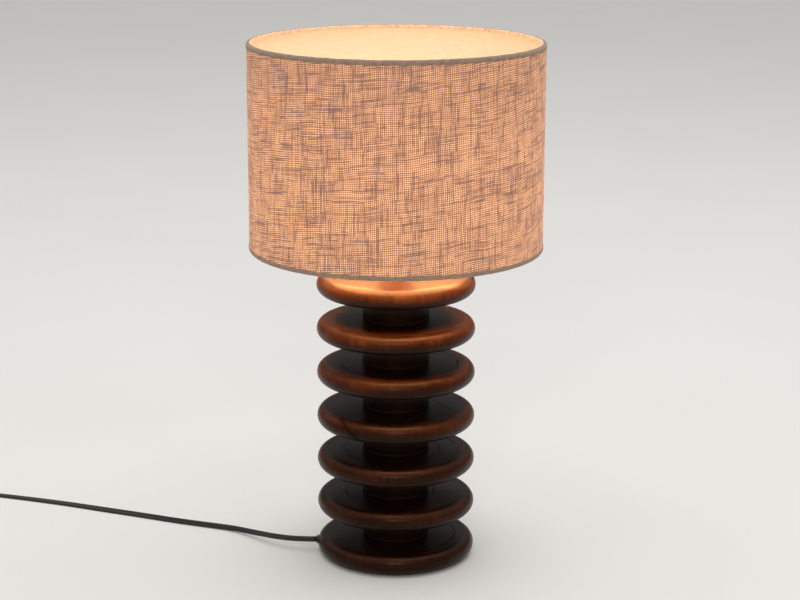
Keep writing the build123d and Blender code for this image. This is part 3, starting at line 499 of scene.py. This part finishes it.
def shade_cloth_material():
    material, tree, shader = new_shader("shade_cloth")
    x, y, height = split(tree, place_of(tree))
    angle = calc(tree, "ARCTAN2", x, calc(tree, "MULTIPLY", y, -1.0))
    length = calc(tree, "MULTIPLY", angle, SHADE_RADIUS)
    flat = combine(tree, length, height)
    weft, warp = thread_lines(tree, flat, length, height)
    thick = with_slubs(tree, 0.0, weft, length, WEFT_SLUBS)
    thick = with_slubs(tree, thick, warp, height, WARP_SLUBS)
    weft_gap = gap_between(tree, weft, WEFT_STEP)
    warp_gap = gap_between(tree, warp, THREAD_STEP)
    holes = calc(tree, "MULTIPLY", weft_gap, warp_gap)
    light = light_through(tree, flat, weft_gap, warp_gap, holes, thick)
    off = distance(tree, height, CLOTH_GLOW_MIDDLE)
    feed(tree, shader.inputs["Base Color"], ramp(tree, light, *CLOTH_STOPS))
    feed(tree, shader.inputs["Emission Color"], ramp(tree, light, *CLOTH_GLOW_STOPS))
    feed(tree, shader.inputs["Emission Strength"], fade(tree, off, *CLOTH_GLOW_FADE))
    finish_with(shader, CLOTH_FINISH)
    relief = calc(tree, "SUBTRACT", thick, holes)
    roughen(tree, shader, relief, CLOTH_RELIEF, CLOTH_RELIEF_STRENGTH)
    return material


# Rolled edges of the cloth: they glow on the bulb's side, and hardly outside
ROLL_RADIUS = 0.0022
HEM_COARSE_CLOUD = (260, 3, 0.6)
HEM_FINE_STRETCH = (900, 900, 1500)
HEM_FINE_CLOUD = (1, 2)
HEM_SHARE = 0.5
HEM_STOPS = ((0.30, (0.135, 0.098, 0.076)), (0.65, (0.285, 0.208, 0.162)))
HEM_GLOW_STOPS = ((0.35, (0.55, 0.24, 0.10)), (0.6, (1.0, 0.62, 0.33)))
HEM_GLOW_START = 0.0040
HEM_GLOW_INSIDE = 0.95
HEM_GLOW_OUTSIDE = 0.09
HEM_FINISH = {"Roughness": 0.95, "Sheen Weight": 0.2}
HEM_RELIEF = 0.0005
HEM_RELIEF_STRENGTH = 0.8


def hem_material():
    material, tree, shader = new_shader("hem_cloth")
    place = place_of(tree)
    coarse = cloud(tree, place, *HEM_COARSE_CLOUD)
    fine = cloud(tree, stretched(tree, place, HEM_FINE_STRETCH), *HEM_FINE_CLOUD)
    tone = plus(tree, calc(tree, "MULTIPLY", coarse, HEM_SHARE), fine, HEM_SHARE)
    x, y, _ = split(tree, place)
    inner = SHADE_RADIUS - HEM_GLOW_START
    outer = SHADE_RADIUS - ROLL_RADIUS
    glow = fade(tree, length_of(tree, x, y), inner, outer, HEM_GLOW_INSIDE, HEM_GLOW_OUTSIDE)
    feed(tree, shader.inputs["Base Color"], ramp(tree, tone, *HEM_STOPS))
    feed(tree, shader.inputs["Emission Color"], ramp(tree, tone, *HEM_GLOW_STOPS))
    feed(tree, shader.inputs["Emission Strength"], glow)
    finish_with(shader, HEM_FINISH)
    roughen(tree, shader, tone, HEM_RELIEF, HEM_RELIEF_STRENGTH)
    return material


# Lining of the shade, brightest round the bulb and under it
LINING_STRETCH = (90, 90, 400)
LINING_CLOUD = (1, 3)
LINING_STOPS = ((0.3, (0.72, 0.64, 0.50)), (0.7, (0.80, 0.72, 0.58)))
LINING_GLOW_MIDDLE = (0.74, 0.44, 0.24)
LINING_GLOW_ENDS = (0.64, 0.40, 0.18)
LINING_GLOW_EDGES = (0.02, 0.12)
LINING_STRENGTH = (0.03, 0.13, 0.55, 0.45)
LINING_LOW_BOOST = (0.36, 0.41, 2.0, 1.0)
LINING_FINISH = {"Roughness": 0.6}
LINING_RELIEF = 0.0001
LINING_RELIEF_STRENGTH = 0.4


def lining_material():
    material, tree, shader = new_shader("shade_lining")
    place = place_of(tree)
    fibres = cloud(tree, stretched(tree, place, LINING_STRETCH), *LINING_CLOUD)
    height = height_of(tree, place)
    off = distance(tree, height, BULB_HEIGHT)
    glow = tint(tree, fade(tree, off, *LINING_GLOW_EDGES), LINING_GLOW_MIDDLE, LINING_GLOW_ENDS)
    boost = fade(tree, height, *LINING_LOW_BOOST)
    strength = calc(tree, "MULTIPLY", fade(tree, off, *LINING_STRENGTH), boost)
    feed(tree, shader.inputs["Base Color"], ramp(tree, fibres, *LINING_STOPS))
    feed(tree, shader.inputs["Emission Color"], glow)
    feed(tree, shader.inputs["Emission Strength"], strength)
    finish_with(shader, LINING_FINISH)
    roughen(tree, shader, fibres, LINING_RELIEF, LINING_RELIEF_STRENGTH)
    return material


# Plain stuffs: darker and paler colour, roughness, grains per metre, relief, metal and coat
PLAIN_STUFFS = {
    "felt": ((0.012, 0.011, 0.010), (0.03, 0.027, 0.025), 0.95, 900, 0.0005, 0.0, 0.0),
    "plated_steel": ((0.55, 0.55, 0.52), (0.70, 0.69, 0.66), 0.30, 700, 0.00003, 1.0, 0.0),
    "dark_metal": ((0.05, 0.028, 0.018), (0.08, 0.045, 0.028), 0.35, 500, 0.00003, 0.8, 0.2),
    "dark_plastic": ((0.012, 0.0095, 0.009), (0.018, 0.0145, 0.0135), 0.42, 1400, 0.00004, 0.0, 0.0),
    "pale_plastic": ((0.58, 0.56, 0.50), (0.66, 0.64, 0.58), 0.45, 900, 0.00003, 0.0, 0.0),
    "flex_cover": ((0.013, 0.0095, 0.0085), (0.021, 0.015, 0.0135), 0.42, 700, 0.00004, 0.0, 0.0),
    "holder_plastic": ((0.70, 0.68, 0.62), (0.77, 0.75, 0.70), 0.38, 900, 0.00003, 0.0, 0.0),
    "ceramic": ((0.74, 0.72, 0.67), (0.82, 0.80, 0.76), 0.18, 300, 0.00004, 0.0, 0.5),
    "brass": ((0.52, 0.34, 0.11), (0.66, 0.46, 0.18), 0.28, 600, 0.00003, 1.0, 0.0),
    "wire_cover": ((0.08, 0.022, 0.008), (0.12, 0.035, 0.012), 0.5, 700, 0.00003, 0.0, 0.0),
    "bulb_metal": ((0.66, 0.66, 0.64), (0.78, 0.77, 0.75), 0.25, 500, 0.00003, 1.0, 0.0),
    "white_metal": ((0.72, 0.70, 0.65), (0.80, 0.78, 0.73), 0.35, 500, 0.00004, 0.0, 0.2),
    "rocker_plastic": ((0.016, 0.013, 0.012), (0.022, 0.018, 0.016), 0.25, 900, 0.00002, 0.0, 0.3),
    "plug_metal": ((0.66, 0.65, 0.62), (0.78, 0.77, 0.74), 0.2, 400, 0.00002, 1.0, 0.0),
    "mark": ((0.60, 0.58, 0.54), (0.72, 0.70, 0.66), 0.5, 900, 0.00002, 0.0, 0.0),
}
STUFF_PATCH_GRAINS = 8
STUFF_PATCH_DETAIL = 3
STUFF_PATCH_STOPS = (0.35, 0.65)
STUFF_GRAIN_DETAIL = 2
STUFF_GRAIN_EDGES = (0.3, 0.7)
STUFF_ROUGHNESS_SPREAD = 0.15
STUFF_COAT_ROUGHNESS = 0.1
STUFF_RELIEF_STRENGTH = 0.6


def plain_stuff(name, dark, pale, roughness, grains, relief, metal, coat):
    material, tree, shader = new_shader(name)
    place = place_of(tree)
    patches = cloud(tree, place, grains / STUFF_PATCH_GRAINS, STUFF_PATCH_DETAIL)
    grain = cloud(tree, place, grains, STUFF_GRAIN_DETAIL)
    smoothest = roughness * (1 - STUFF_ROUGHNESS_SPREAD)
    roughest = roughness * (1 + STUFF_ROUGHNESS_SPREAD)
    feed(tree, shader.inputs["Base Color"], ramp(tree, patches, *zip(STUFF_PATCH_STOPS, (dark, pale))))
    feed(tree, shader.inputs["Roughness"], fade(tree, grain, *STUFF_GRAIN_EDGES, smoothest, roughest))
    finish_with(shader, {"Metallic": metal, "Coat Weight": coat, "Coat Roughness": STUFF_COAT_ROUGHNESS})
    roughen(tree, shader, grain, relief, STUFF_RELIEF_STRENGTH)
    return material


# Glowing stuffs: colour, colour of the glow, its strength, and roughness
GLOWING_STUFFS = {
    "bulb_glass": ((0.90, 0.86, 0.76), (1.0, 0.74, 0.46), 1.0, 0.22),
    "filament": ((0.95, 0.80, 0.42), (1.0, 0.72, 0.35), 8.0, 0.5),
}
HAZE_CLOUD = (60, 2)
HAZE_STOPS = (0.3, 0.7)
HAZE_SHADE = 0.95
GLOW_RISE = (0.378, 0.40)
GLOW_AT_FOOT = 0.5


def glowing_stuff(name, colour, glow, strength, roughness):
    # The glow rises to its full strength over the foot of the bulb
    material, tree, shader = new_shader(name)
    place = place_of(tree)
    haze = cloud(tree, place, *HAZE_CLOUD)
    shaded = tuple(HAZE_SHADE * share for share in colour)
    rise = fade(tree, height_of(tree, place), *GLOW_RISE, strength * GLOW_AT_FOOT, strength)
    feed(tree, shader.inputs["Base Color"], ramp(tree, haze, *zip(HAZE_STOPS, (colour, shaded))))
    feed(tree, shader.inputs["Emission Strength"], rise)
    finish_with(shader, {"Emission Color": (*glow, 1), "Roughness": roughness})
    return material


def dress(name, material):
    slots = nodes[name].data.materials
    slots.clear()
    slots.append(material)


materials = {name: plain_stuff(name, *look) for name, look in PLAIN_STUFFS.items()}
materials.update({name: glowing_stuff(name, *look) for name, look in GLOWING_STUFFS.items()})
materials["shade_cloth"] = shade_cloth_material()
materials["shade_lining"] = lining_material()
materials["hem"] = hem_material()

wooden_pieces = [name for name in nodes if name.startswith(("disc_", "neck_"))]
for number, name in enumerate(wooden_pieces, start=1):
    dress(name, wood(name, number))
for row in frame["record"]["subparts"]:
    if row["material_slot"] != "wood":
        dress(row["node"], materials[row["material_slot"]])


# Meshes
def make_piece(name, points, faces, material, body):
    mesh = bpy.data.meshes.new(name)
    mesh.from_pydata([tuple(point) for point in points], [], faces)
    mesh.validate()
    mesh.materials.append(materials[material])
    mesh.shade_smooth()
    piece = bpy.data.objects.new(name, mesh)
    bpy.context.scene.collection.objects.link(piece)
    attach(piece, body)
    return piece


def skin_over(loops, closed_run=False, capped=False):
    # Points and faces of a skin over closed loops of points that each have as many
    count = len(loops[0])
    points = [point for loop in loops for point in loop]
    faces = []
    for row in range(len(loops) if closed_run else len(loops) - 1):
        here = row * count
        after = (row + 1) % len(loops) * count
        for index in range(count):
            right = (index + 1) % count
            faces.append((here + index, here + right, after + right, after + index))
    if capped:
        faces.append(tuple(reversed(range(count))))
        faces.append(tuple(len(points) - count + index for index in range(count)))
    return points, faces


def angles_round(count):
    return [math.tau * index / count for index in range(count)]


def round_the_axis(radius, angle, height):
    return (radius * math.cos(angle), radius * math.sin(angle), height)


def share_between(value, start, end):
    return min(max((value - start) / (end - start), 0), 1)


# Flat twin flex
FLEX_WIDTH = 0.006
FLEX_THICKNESS = 0.0032
LOBE_RADIUS = FLEX_THICKNESS / 2
LOBE_OFFSET = (FLEX_WIDTH - FLEX_THICKNESS) / 2
LOBE_SWEEP = math.radians(128)
LOBE_POINTS = 11
LINE_STEPS = 8
LINE_ORDER = 3


def twin_section():
    # Points round the section, each as its place along the broad side and along the thin side
    section = []
    for side in (1, -1):
        for index in range(LOBE_POINTS):
            angle = LOBE_SWEEP * (2 * index / (LOBE_POINTS - 1) - 1)
            broad = LOBE_OFFSET + LOBE_RADIUS * math.cos(angle)
            section.append((side * broad, side * LOBE_RADIUS * math.sin(angle)))
    return section


def line_along(points):
    # Points on the smooth line that a route's points pull into shape
    curve = bpy.data.curves.new("route", "CURVE")
    curve.dimensions = "3D"
    curve.resolution_u = LINE_STEPS
    spline = curve.splines.new("NURBS")
    spline.points.add(len(points) - 1)
    for knot, point in zip(spline.points, points):
        knot.co = (*point, 1)
    spline.order_u = LINE_ORDER
    spline.use_endpoint_u = True
    holder = bpy.data.objects.new("route", curve)
    mesh = bpy.data.meshes.new_from_object(holder)
    line = [vertex.co.copy() for vertex in mesh.vertices]
    bpy.data.objects.remove(holder)
    bpy.data.meshes.remove(mesh)
    bpy.data.curves.remove(curve)
    return line


def twin_flex(name, line, twist_at):
    section = twin_section()
    loops = []
    travelled = 0.0
    for index, point in enumerate(line):
        before = line[max(index - 1, 0)]
        after = line[min(index + 1, len(line) - 1)]
        travelled += (point - before).length
        along = (after - before).normalized()
        level = along.cross(UP).normalized()
        upright = level.cross(along)
        angle = twist_at(travelled)
        broad = upright * math.cos(angle) + level * math.sin(angle)
        thin = level * math.cos(angle) - upright * math.sin(angle)
        loops.append([point + broad * a + thin * b for a, b in section])
    points, faces = skin_over(loops, capped=True)
    return make_piece(name, points, faces, "flex_cover", "base")


# Route from the bush to the switch
FLEX_EXIT = (-0.08365, 0.0, 0.01175)
TWIST_START = 0.06
TWIST_END = 0.42
near_route = [
    FLEX_EXIT,
    (-0.103, 0.0, 0.01175),
    (-0.126, 0.009, 0.0104),
    (-0.152, 0.032, 0.0064),
    (-0.178, 0.0535, 0.0034),
    (-0.210, 0.065, 0.0029),
    (-0.246, 0.078, 0.0028),
    (-0.286, 0.095, 0.0026),
    (-0.328, 0.1115, 0.0024),
    (-0.370, 0.129, 0.0021),
    (-0.412, 0.144, 0.0019),
    (-0.452, 0.157, 0.00175),
    (-0.476, 0.1635, 0.0017),
    (-0.499, 0.163, 0.0017),
    (-0.5183, 0.1525, 0.0019),
    (-0.5282, 0.133, 0.0032),
    (-0.528, 0.111, 0.007),
    (-0.528, 0.093, 0.007),
]


def near_twist(travelled):
    # From upright at the bush to flat on the floor
    return share_between(travelled, TWIST_START, TWIST_END) * QUARTER_TURN


def far_twist(travelled):
    # Flat all the way
    return QUARTER_TURN


# Route from the switch round the coil to the plug
COIL_CENTRE = (-0.4863, -0.040)
COIL_OUTER = 0.0417
COIL_STEP = 0.0067
COIL_IN_TURNS = 3.0
COIL_CLIMB_TURNS = 0.5
COIL_OUT_TURNS = 2.5
COIL_POINTS_PER_TURN = 12
COIL_LIFT = 0.0022
LAYER_HEIGHT = 0.0034
POINT_PULL = 0.75


def coil_points():
    # Inwards in the lower layer, up to the upper one, and outwards again
    # The line cuts inside its points, since their neighbours pull too, so they lie further out
    swell = 1 / (POINT_PULL + (1 - POINT_PULL) * math.cos(math.tau / COIL_POINTS_PER_TURN))
    climb_end = COIL_IN_TURNS + COIL_CLIMB_TURNS
    total = climb_end + COIL_OUT_TURNS
    points = []
    for index in range(round(total * COIL_POINTS_PER_TURN) + 1):
        turns = index / COIL_POINTS_PER_TURN
        radius = COIL_OUTER - min(turns, COIL_IN_TURNS) * COIL_STEP
        radius += max(turns - climb_end, 0) * COIL_STEP
        height = COIL_LIFT + LAYER_HEIGHT * share_between(turns, COIL_IN_TURNS, climb_end)
        x, y, _ = round_the_axis(radius * swell, math.pi + math.tau * turns, height)
        points.append((COIL_CENTRE[0] + x, COIL_CENTRE[1] + y, height))
    return points


far_route = [
    (-0.528, 0.027, 0.007),
    (-0.528, 0.015, 0.0068),
    (-0.529, -0.003, 0.0032),
    (-0.5288, -0.020, 0.0022),
]
far_route += coil_points()
far_route += [
    (-0.5247, -0.052, 0.0058),
    (-0.5246, -0.066, 0.0066),
    (-0.52465, -0.076, 0.00685),
    (-0.52465, -0.084, 0.00685),
]

near_line = line_along(near_route)
far_line = line_along(far_route)
flex_near = twin_flex("flex_near", near_line, near_twist)
flex_far = twin_flex("flex_far", far_line, far_twist)
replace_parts(flex_near, "flex_to_switch")
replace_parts(flex_far, "flex_to_coil", "flex_coil", "flex_to_plug")

# Ties round the coil
TIE_ANGLES = (20, 200)
TIE_WIDTH = 0.007
TIE_THICKNESS = 0.0006
TIE_CORNER_POINTS = 6
TIE_CORNER_SHARE = 0.8
TIE_CORNERS = ((1, 1), (-1, 1), (-1, -1), (1, -1))


def tie_outline(half_width, half_height, offset):
    # A rectangle with round corners, grown by the offset
    corner_round = half_height * TIE_CORNER_SHARE
    outline = []
    for corner, (u, v) in enumerate(TIE_CORNERS):
        for index in range(TIE_CORNER_POINTS):
            turn = QUARTER_TURN * (corner + index / (TIE_CORNER_POINTS - 1))
            across = u * (half_width - corner_round) + (corner_round + offset) * math.cos(turn)
            up = v * (half_height - corner_round) + (corner_round + offset) * math.sin(turn)
            outline.append((across, up))
    return outline


def coil_tie(name, degrees):
    angle = math.radians(degrees)
    outward = Vector((math.cos(angle), math.sin(angle), 0))
    along = UP.cross(outward)
    outer = COIL_OUTER + FLEX_WIDTH / 2
    inner = COIL_OUTER - COIL_IN_TURNS * COIL_STEP - FLEX_WIDTH / 2
    half_width = (outer - inner) / 2 + TIE_THICKNESS
    half_height = (LAYER_HEIGHT + FLEX_THICKNESS) / 2
    centre = Vector((*COIL_CENTRE, COIL_LIFT + LAYER_HEIGHT / 2)) + outward * ((outer + inner) / 2)
    # Along the tie's inside and back along its outside
    loops = []
    for offset, sides in ((0, (-1, 1)), (TIE_THICKNESS, (1, -1))):
        outline = tie_outline(half_width, half_height, offset)
        for side in sides:
            loops.append([centre + outward * a + UP * b + along * side * TIE_WIDTH / 2 for a, b in outline])
    points, faces = skin_over(loops, closed_run=True)
    return make_piece(name, points, faces, "dark_plastic", "base")


ties = [coil_tie(f"coil_tie_{number}", angle) for number, angle in enumerate(TIE_ANGLES, start=1)]

# Rocker marks: a bar for on and a ring for off
SWITCH_PLACE = Matrix.Translation((-0.528, 0.060, 0.0115)) @ Matrix.Rotation(-QUARTER_TURN, 4, "Z")
ROCKER_TILT = Matrix.Rotation(math.radians(8), 4, "Y")
ROCKER_TOP = 0.0067
ROCKER_DISH = 0.0009
ROCKER_HALF = 0.0074
MARK_PLACE = 0.0040
MARK_HEIGHT = 0.00012
MARK_RADIUS = 0.0014
MARK_LINE = 0.0004
MARK_POINTS = 24
BAR_WIDTH_SHARE = 0.16
BAR_SLIT_SHARE = 0.1
OFF_SIDE = -1
ON_SIDE = 1


def mark_stand(side):
    height = ROCKER_TOP - ROCKER_DISH * (1 - MARK_PLACE / ROCKER_HALF)
    slope = Matrix.Rotation(-side * math.atan(ROCKER_DISH / ROCKER_HALF), 4, "Y")
    return SWITCH_PLACE @ ROCKER_TILT @ Matrix.Translation((side * MARK_PLACE, 0, height)) @ slope


def mark_outline(radius, width_share=1.0):
    angles = angles_round(MARK_POINTS)
    return [(radius * width_share * math.cos(angle), radius * math.sin(angle)) for angle in angles]


def rocker_mark(name, side, outer, inner):
    # A low closed rim between an outer and an inner outline
    stand = mark_stand(side)
    rim = ((outer, -MARK_HEIGHT), (outer, MARK_HEIGHT), (inner, MARK_HEIGHT), (inner, -MARK_HEIGHT))
    loops = [[stand @ Vector((a, b, height)) for a, b in outline] for outline, height in rim]
    points, faces = skin_over(loops, closed_run=True)
    return make_piece(name, points, faces, "mark", "rocker")


ring_outlines = (mark_outline(MARK_RADIUS), mark_outline(MARK_RADIUS - MARK_LINE))
bar_outlines = (
    mark_outline(MARK_RADIUS, BAR_WIDTH_SHARE),
    mark_outline(MARK_RADIUS * BAR_SLIT_SHARE, BAR_WIDTH_SHARE),
)
off_mark = rocker_mark("off_mark", OFF_SIDE, *ring_outlines)
on_mark = rocker_mark("on_mark", ON_SIDE, *bar_outlines)

# Shade: the cloth skin between two rolled hems
cloth_low, cloth_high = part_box("shade_cloth")
SHADE_COLUMNS = 480
CLOTH_ROWS = 84
CLOTH_THICKNESS = 0.0006
CLOTH_WAVE = 0.00022
CLOTH_SEED = 3.0
UNEVEN_ROUND = 6
UNEVEN_UP = 40
HEM_HEIGHT = 0.0046
HEM_INSIDE = 0.0028
HEM_PROUD = 0.0005
HEM_THICKNESS = 0.0006
HEM_ARC_STEPS = 8
HEM_WAVE = 0.00035
HEM_WAVE_OUT = 0.4
HEM_WAVES = 3
LIP_WAVE = 2 * HEM_WAVE
LIP_WAVES = 5
LIP_LEVEL = 0.5
LIP_SEED_STEP = 4


def unevenness(angle, height, seed):
    # A smooth value from about -1 to 1 that closes round the drum
    place = Vector((math.cos(angle), math.sin(angle), 0)) * UNEVEN_ROUND
    return noise.noise(Vector((place.x + seed, place.y, height * UNEVEN_UP)))


def round_the_shade(radius, angle, height):
    # Angles start at the front of the lamp
    return (radius * math.sin(angle), -radius * math.cos(angle), height)


def shade_skin():
    # The cloth's outer face, thickened inwards
    low = cloth_low.z + HEM_HEIGHT / 2
    high = cloth_high.z - HEM_HEIGHT / 2
    loops = []
    for row in range(CLOTH_ROWS + 1):
        height = low + (high - low) * row / CLOTH_ROWS
        loop = []
        for angle in angles_round(SHADE_COLUMNS):
            radius = SHADE_RADIUS + CLOTH_WAVE * unevenness(angle, height, CLOTH_SEED)
            loop.append(round_the_shade(radius, angle, height))
        loops.append(loop)
    points, faces = skin_over(loops)
    piece = make_piece("shade_skin", points, faces, "shade_cloth", "shade")
    thicken = piece.modifiers.new("thickness", "SOLIDIFY")
    thicken.thickness = CLOTH_THICKNESS
    thicken.offset = -1
    return piece


def hem_profile(lip):
    # Places from the wire's middle: round it on the cloth's outer face, and back on its inner face
    outer = ROLL_RADIUS + HEM_PROUD
    profile = []
    for radius in (outer, outer - HEM_THICKNESS):
        half = [(radius, lip - ROLL_RADIUS)]
        for index in range(HEM_ARC_STEPS + 1):
            turn = math.pi * index / HEM_ARC_STEPS
            half.append((radius * math.cos(turn), -radius * math.sin(turn)))
        half.append((-radius, HEM_INSIDE - ROLL_RADIUS))
        profile += half if radius == outer else reversed(half)
    return profile


def shade_hem(name, edge_height, inwards, seed):
    # The cloth's turned edge, rolled over the wire: inwards is +1 at the foot and -1 at the top
    middle = SHADE_RADIUS - ROLL_RADIUS
    axis_height = edge_height + inwards * ROLL_RADIUS
    loops = []
    for angle in angles_round(SHADE_COLUMNS):
        wave = HEM_WAVE * unevenness(angle * HEM_WAVES, 0, seed)
        lip = HEM_HEIGHT + LIP_WAVE * unevenness(angle * LIP_WAVES, LIP_LEVEL, seed + LIP_SEED_STEP)
        loop = []
        for out, rise in hem_profile(lip):
            radius = middle + out + wave * HEM_WAVE_OUT
            loop.append(round_the_shade(radius, angle, axis_height + inwards * rise + wave))
        loops.append(loop)
    points, faces = skin_over(loops, closed_run=True)
    if inwards > 0:
        faces = [tuple(reversed(face)) for face in faces]
    return make_piece(name, points, faces, "hem", "shade")


skin = shade_skin()
top_hem = shade_hem("shade_top_hem", cloth_high.z, inwards=-1, seed=1.0)
foot_hem = shade_hem("shade_foot_hem", cloth_low.z, inwards=1, seed=9.0)
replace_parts(skin, "shade_cloth")

# Felt under the bottom disc, with a worn edge
felt_low, felt_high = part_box("felt_pad")
FELT_COLUMNS = 180
FELT_FRAY = 0.0004
FELT_WAVES = 7
FELT_SEED = 2.0

# How far in from the edge, share of the thickness, and whether the edge is frayed there
FELT_PROFILE = (
    (0.02, 0, False),
    (0.001, 0, True),
    (0.0, 0.4, True),
    (0.0, 0.7, True),
    (0.0008, 1, True),
    (0.02, 1, False),
)


def felt_foot():
    thickness = felt_high.z - felt_low.z
    loops = []
    for inset, share, frayed in FELT_PROFILE:
        loop = []
        for angle in angles_round(FELT_COLUMNS):
            fray = FELT_FRAY * unevenness(angle * FELT_WAVES, share, FELT_SEED) if frayed else 0
            reach = felt_high.x - inset + fray
            loop.append(round_the_axis(reach, angle, felt_low.z + thickness * share))
        loops.append(loop)
    points, faces = skin_over(loops, capped=True)
    return make_piece("felt_foot", points, faces, "felt", "base")


felt = felt_foot()
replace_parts(felt, "felt_pad")

# Threads of the bulb's cap and of the lampholder's skirt
cap_low, cap_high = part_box("bulb_cap")
THREAD_COLUMNS = 72
BULB_PITCH = 0.0036
BULB_THREAD_DEPTH = 0.0009
CAP_ROWS = 64
CAP_END_SHARE = 0.12
SKIRT_RADIUS = 0.020
SKIRT_PITCH = 0.0025
SKIRT_RIDGE = 0.00024
SKIRT_RIDGE_SUNK = 0.0001
SKIRT_RIDGE_END = 0.25
SKIRT_HALF_SHARE = 0.36
SKIRT_CREST_SHARE = 0.3
SKIRT_THREAD_LOW = 0.3535
SKIRT_THREAD_HIGH = 0.3800


def bulb_thread():
    height = cap_high.z - cap_low.z
    loops = []
    for row in range(CAP_ROWS + 1):
        share = row / CAP_ROWS
        rise = height * share
        depth = BULB_THREAD_DEPTH * min(min(share, 1 - share) / CAP_END_SHARE, 1)
        loop = []
        for angle in angles_round(THREAD_COLUMNS):
            wave = 0.5 - 0.5 * math.cos(math.tau * rise / BULB_PITCH - angle)
            loop.append(round_the_axis(cap_high.x - depth * wave, angle, cap_low.z + rise))
        loops.append(loop)
    points, faces = skin_over(loops, capped=True)
    return make_piece("bulb_thread", points, faces, "bulb_metal", "bulb")


def skirt_thread():
    # A ridge that winds up the skirt, and runs out over its first and last quarter turn
    turns = (SKIRT_THREAD_HIGH - SKIRT_THREAD_LOW) / SKIRT_PITCH
    steps = round(turns * THREAD_COLUMNS)
    foot = SKIRT_PITCH * SKIRT_HALF_SHARE
    crest = foot * SKIRT_CREST_SHARE
    loops = []
    for index in range(steps + 1):
        angle = math.tau * turns * index / steps
        height = SKIRT_THREAD_LOW + SKIRT_PITCH * turns * index / steps
        turns_to_end = min(index, steps - index) / THREAD_COLUMNS
        ridge = SKIRT_RIDGE * min(turns_to_end / SKIRT_RIDGE_END, 1)
        profile = ((-SKIRT_RIDGE_SUNK, foot), (ridge, crest), (ridge, -crest), (-SKIRT_RIDGE_SUNK, -foot))
        loops.append([round_the_axis(SKIRT_RADIUS + out, angle, height + rise) for out, rise in profile])
    points, faces = skin_over(loops, capped=True)
    return make_piece("holder_thread", points, faces, "holder_plastic", "base")


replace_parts(bulb_thread(), "bulb_cap")
skirt_thread()

# Floor and soft dome, brighter overhead than at the horizon
FLOOR_SIZE = 14.0
FLOOR_COLOUR = (0.76, 0.75, 0.735)
FLOOR_PALER = 1.02
FLOOR_CLOUD = (3, 2)
FLOOR_STOPS = (0.3, 0.7)
FLOOR_FINISH = {"Roughness": 0.8, "Specular IOR Level": 0.2}
FLOOR_CORNERS = ((-1, -1), (1, -1), (1, 1), (-1, 1))
SKY_COLOUR = (1.0, 0.99, 0.97, 1)
SKY_STRENGTH = (0.10, 0.90, 0.15, 0.85)


def floor_material():
    material, tree, shader = new_shader("floor")
    speckle = cloud(tree, place_of(tree), *FLOOR_CLOUD)
    paler = tuple(min(1, share * FLOOR_PALER) for share in FLOOR_COLOUR)
    feed(tree, shader.inputs["Base Color"], ramp(tree, speckle, *zip(FLOOR_STOPS, (FLOOR_COLOUR, paler))))
    finish_with(shader, FLOOR_FINISH)
    return material


def floor():
    half = FLOOR_SIZE / 2
    mesh = bpy.data.meshes.new("floor")
    mesh.from_pydata([(half * u, half * v, 0) for u, v in FLOOR_CORNERS], [], [(0, 1, 2, 3)])
    mesh.materials.append(floor_material())
    piece = bpy.data.objects.new("floor", mesh)
    bpy.context.scene.collection.objects.link(piece)


def sky():
    world = bpy.data.worlds.new("studio")
    bpy.context.scene.world = world
    world.use_nodes = True
    tree = world.node_tree
    shader = tree.nodes["Background"]
    rise = height_of(tree, add(tree, "ShaderNodeTexCoord").outputs["Generated"])
    shader.inputs["Color"].default_value = SKY_COLOUR
    feed(tree, shader.inputs["Strength"], fade(tree, rise, *SKY_STRENGTH))


# Studio lights: name, place, aim, width and height, power, and colour
STUDIO_LIGHTS = (
    ("front", (0.0, -2.6, 1.5), (0, 0, 0.25), (0.8, 0.36), 14, (1.0, 0.93, 0.86)),
    ("top", (0.2, 0.4, 3.2), (0, 0.6, 0), (3.0, 3.0), 50, (1, 1, 1)),
)

# Light of the bulb on the stack alone: what falls on the wood, and what shows in its polish
# Each light has its height, its power, and whether it falls on the wood.
GLOW_SIZE = (0.27, 0.27)
GLOW_COLOUR = (1.0, 0.52, 0.19)
GLOW_AIM = (0, 0, 0)
GLOW_LIGHTS = (
    ("bulb_light", 0.345, 13.0, True),
    ("shade_foot_in_polish", 0.345, 0.45, False),
    ("shade_inside_in_polish", 0.385, 4.5, False),
)
STACK_NAMES = ("disc_", "neck_", "tube_", "top_")


def softbox(name, place, aim, size, power, colour):
    data = bpy.data.lights.new(name, "AREA")
    data.shape = "RECTANGLE"
    data.size, data.size_y = size
    data.energy = power
    data.color = colour
    lamp = bpy.data.objects.new(name, data)
    bpy.context.scene.collection.objects.link(lamp)
    lamp.location = place
    lamp.rotation_mode = "QUATERNION"
    lamp.rotation_quaternion = (Vector(aim) - Vector(place)).to_track_quat("-Z", "Y")
    return lamp


def light_the_stack():
    stack = bpy.data.collections.new("lit_by_the_bulb")
    for name in nodes:
        if name.startswith(STACK_NAMES):
            stack.objects.link(nodes[name])
    for name, height, power, on_wood in GLOW_LIGHTS:
        glow = softbox(name, (0, 0, height), GLOW_AIM, GLOW_SIZE, power, GLOW_COLOUR)
        glow.data.shape = "DISK"
        glow.visible_camera = False
        glow.visible_diffuse = on_wood
        glow.visible_glossy = not on_wood
        glow.light_linking.receiver_collection = stack


floor()
sky()
for light in STUDIO_LIGHTS:
    softbox(*light)
light_the_stack()
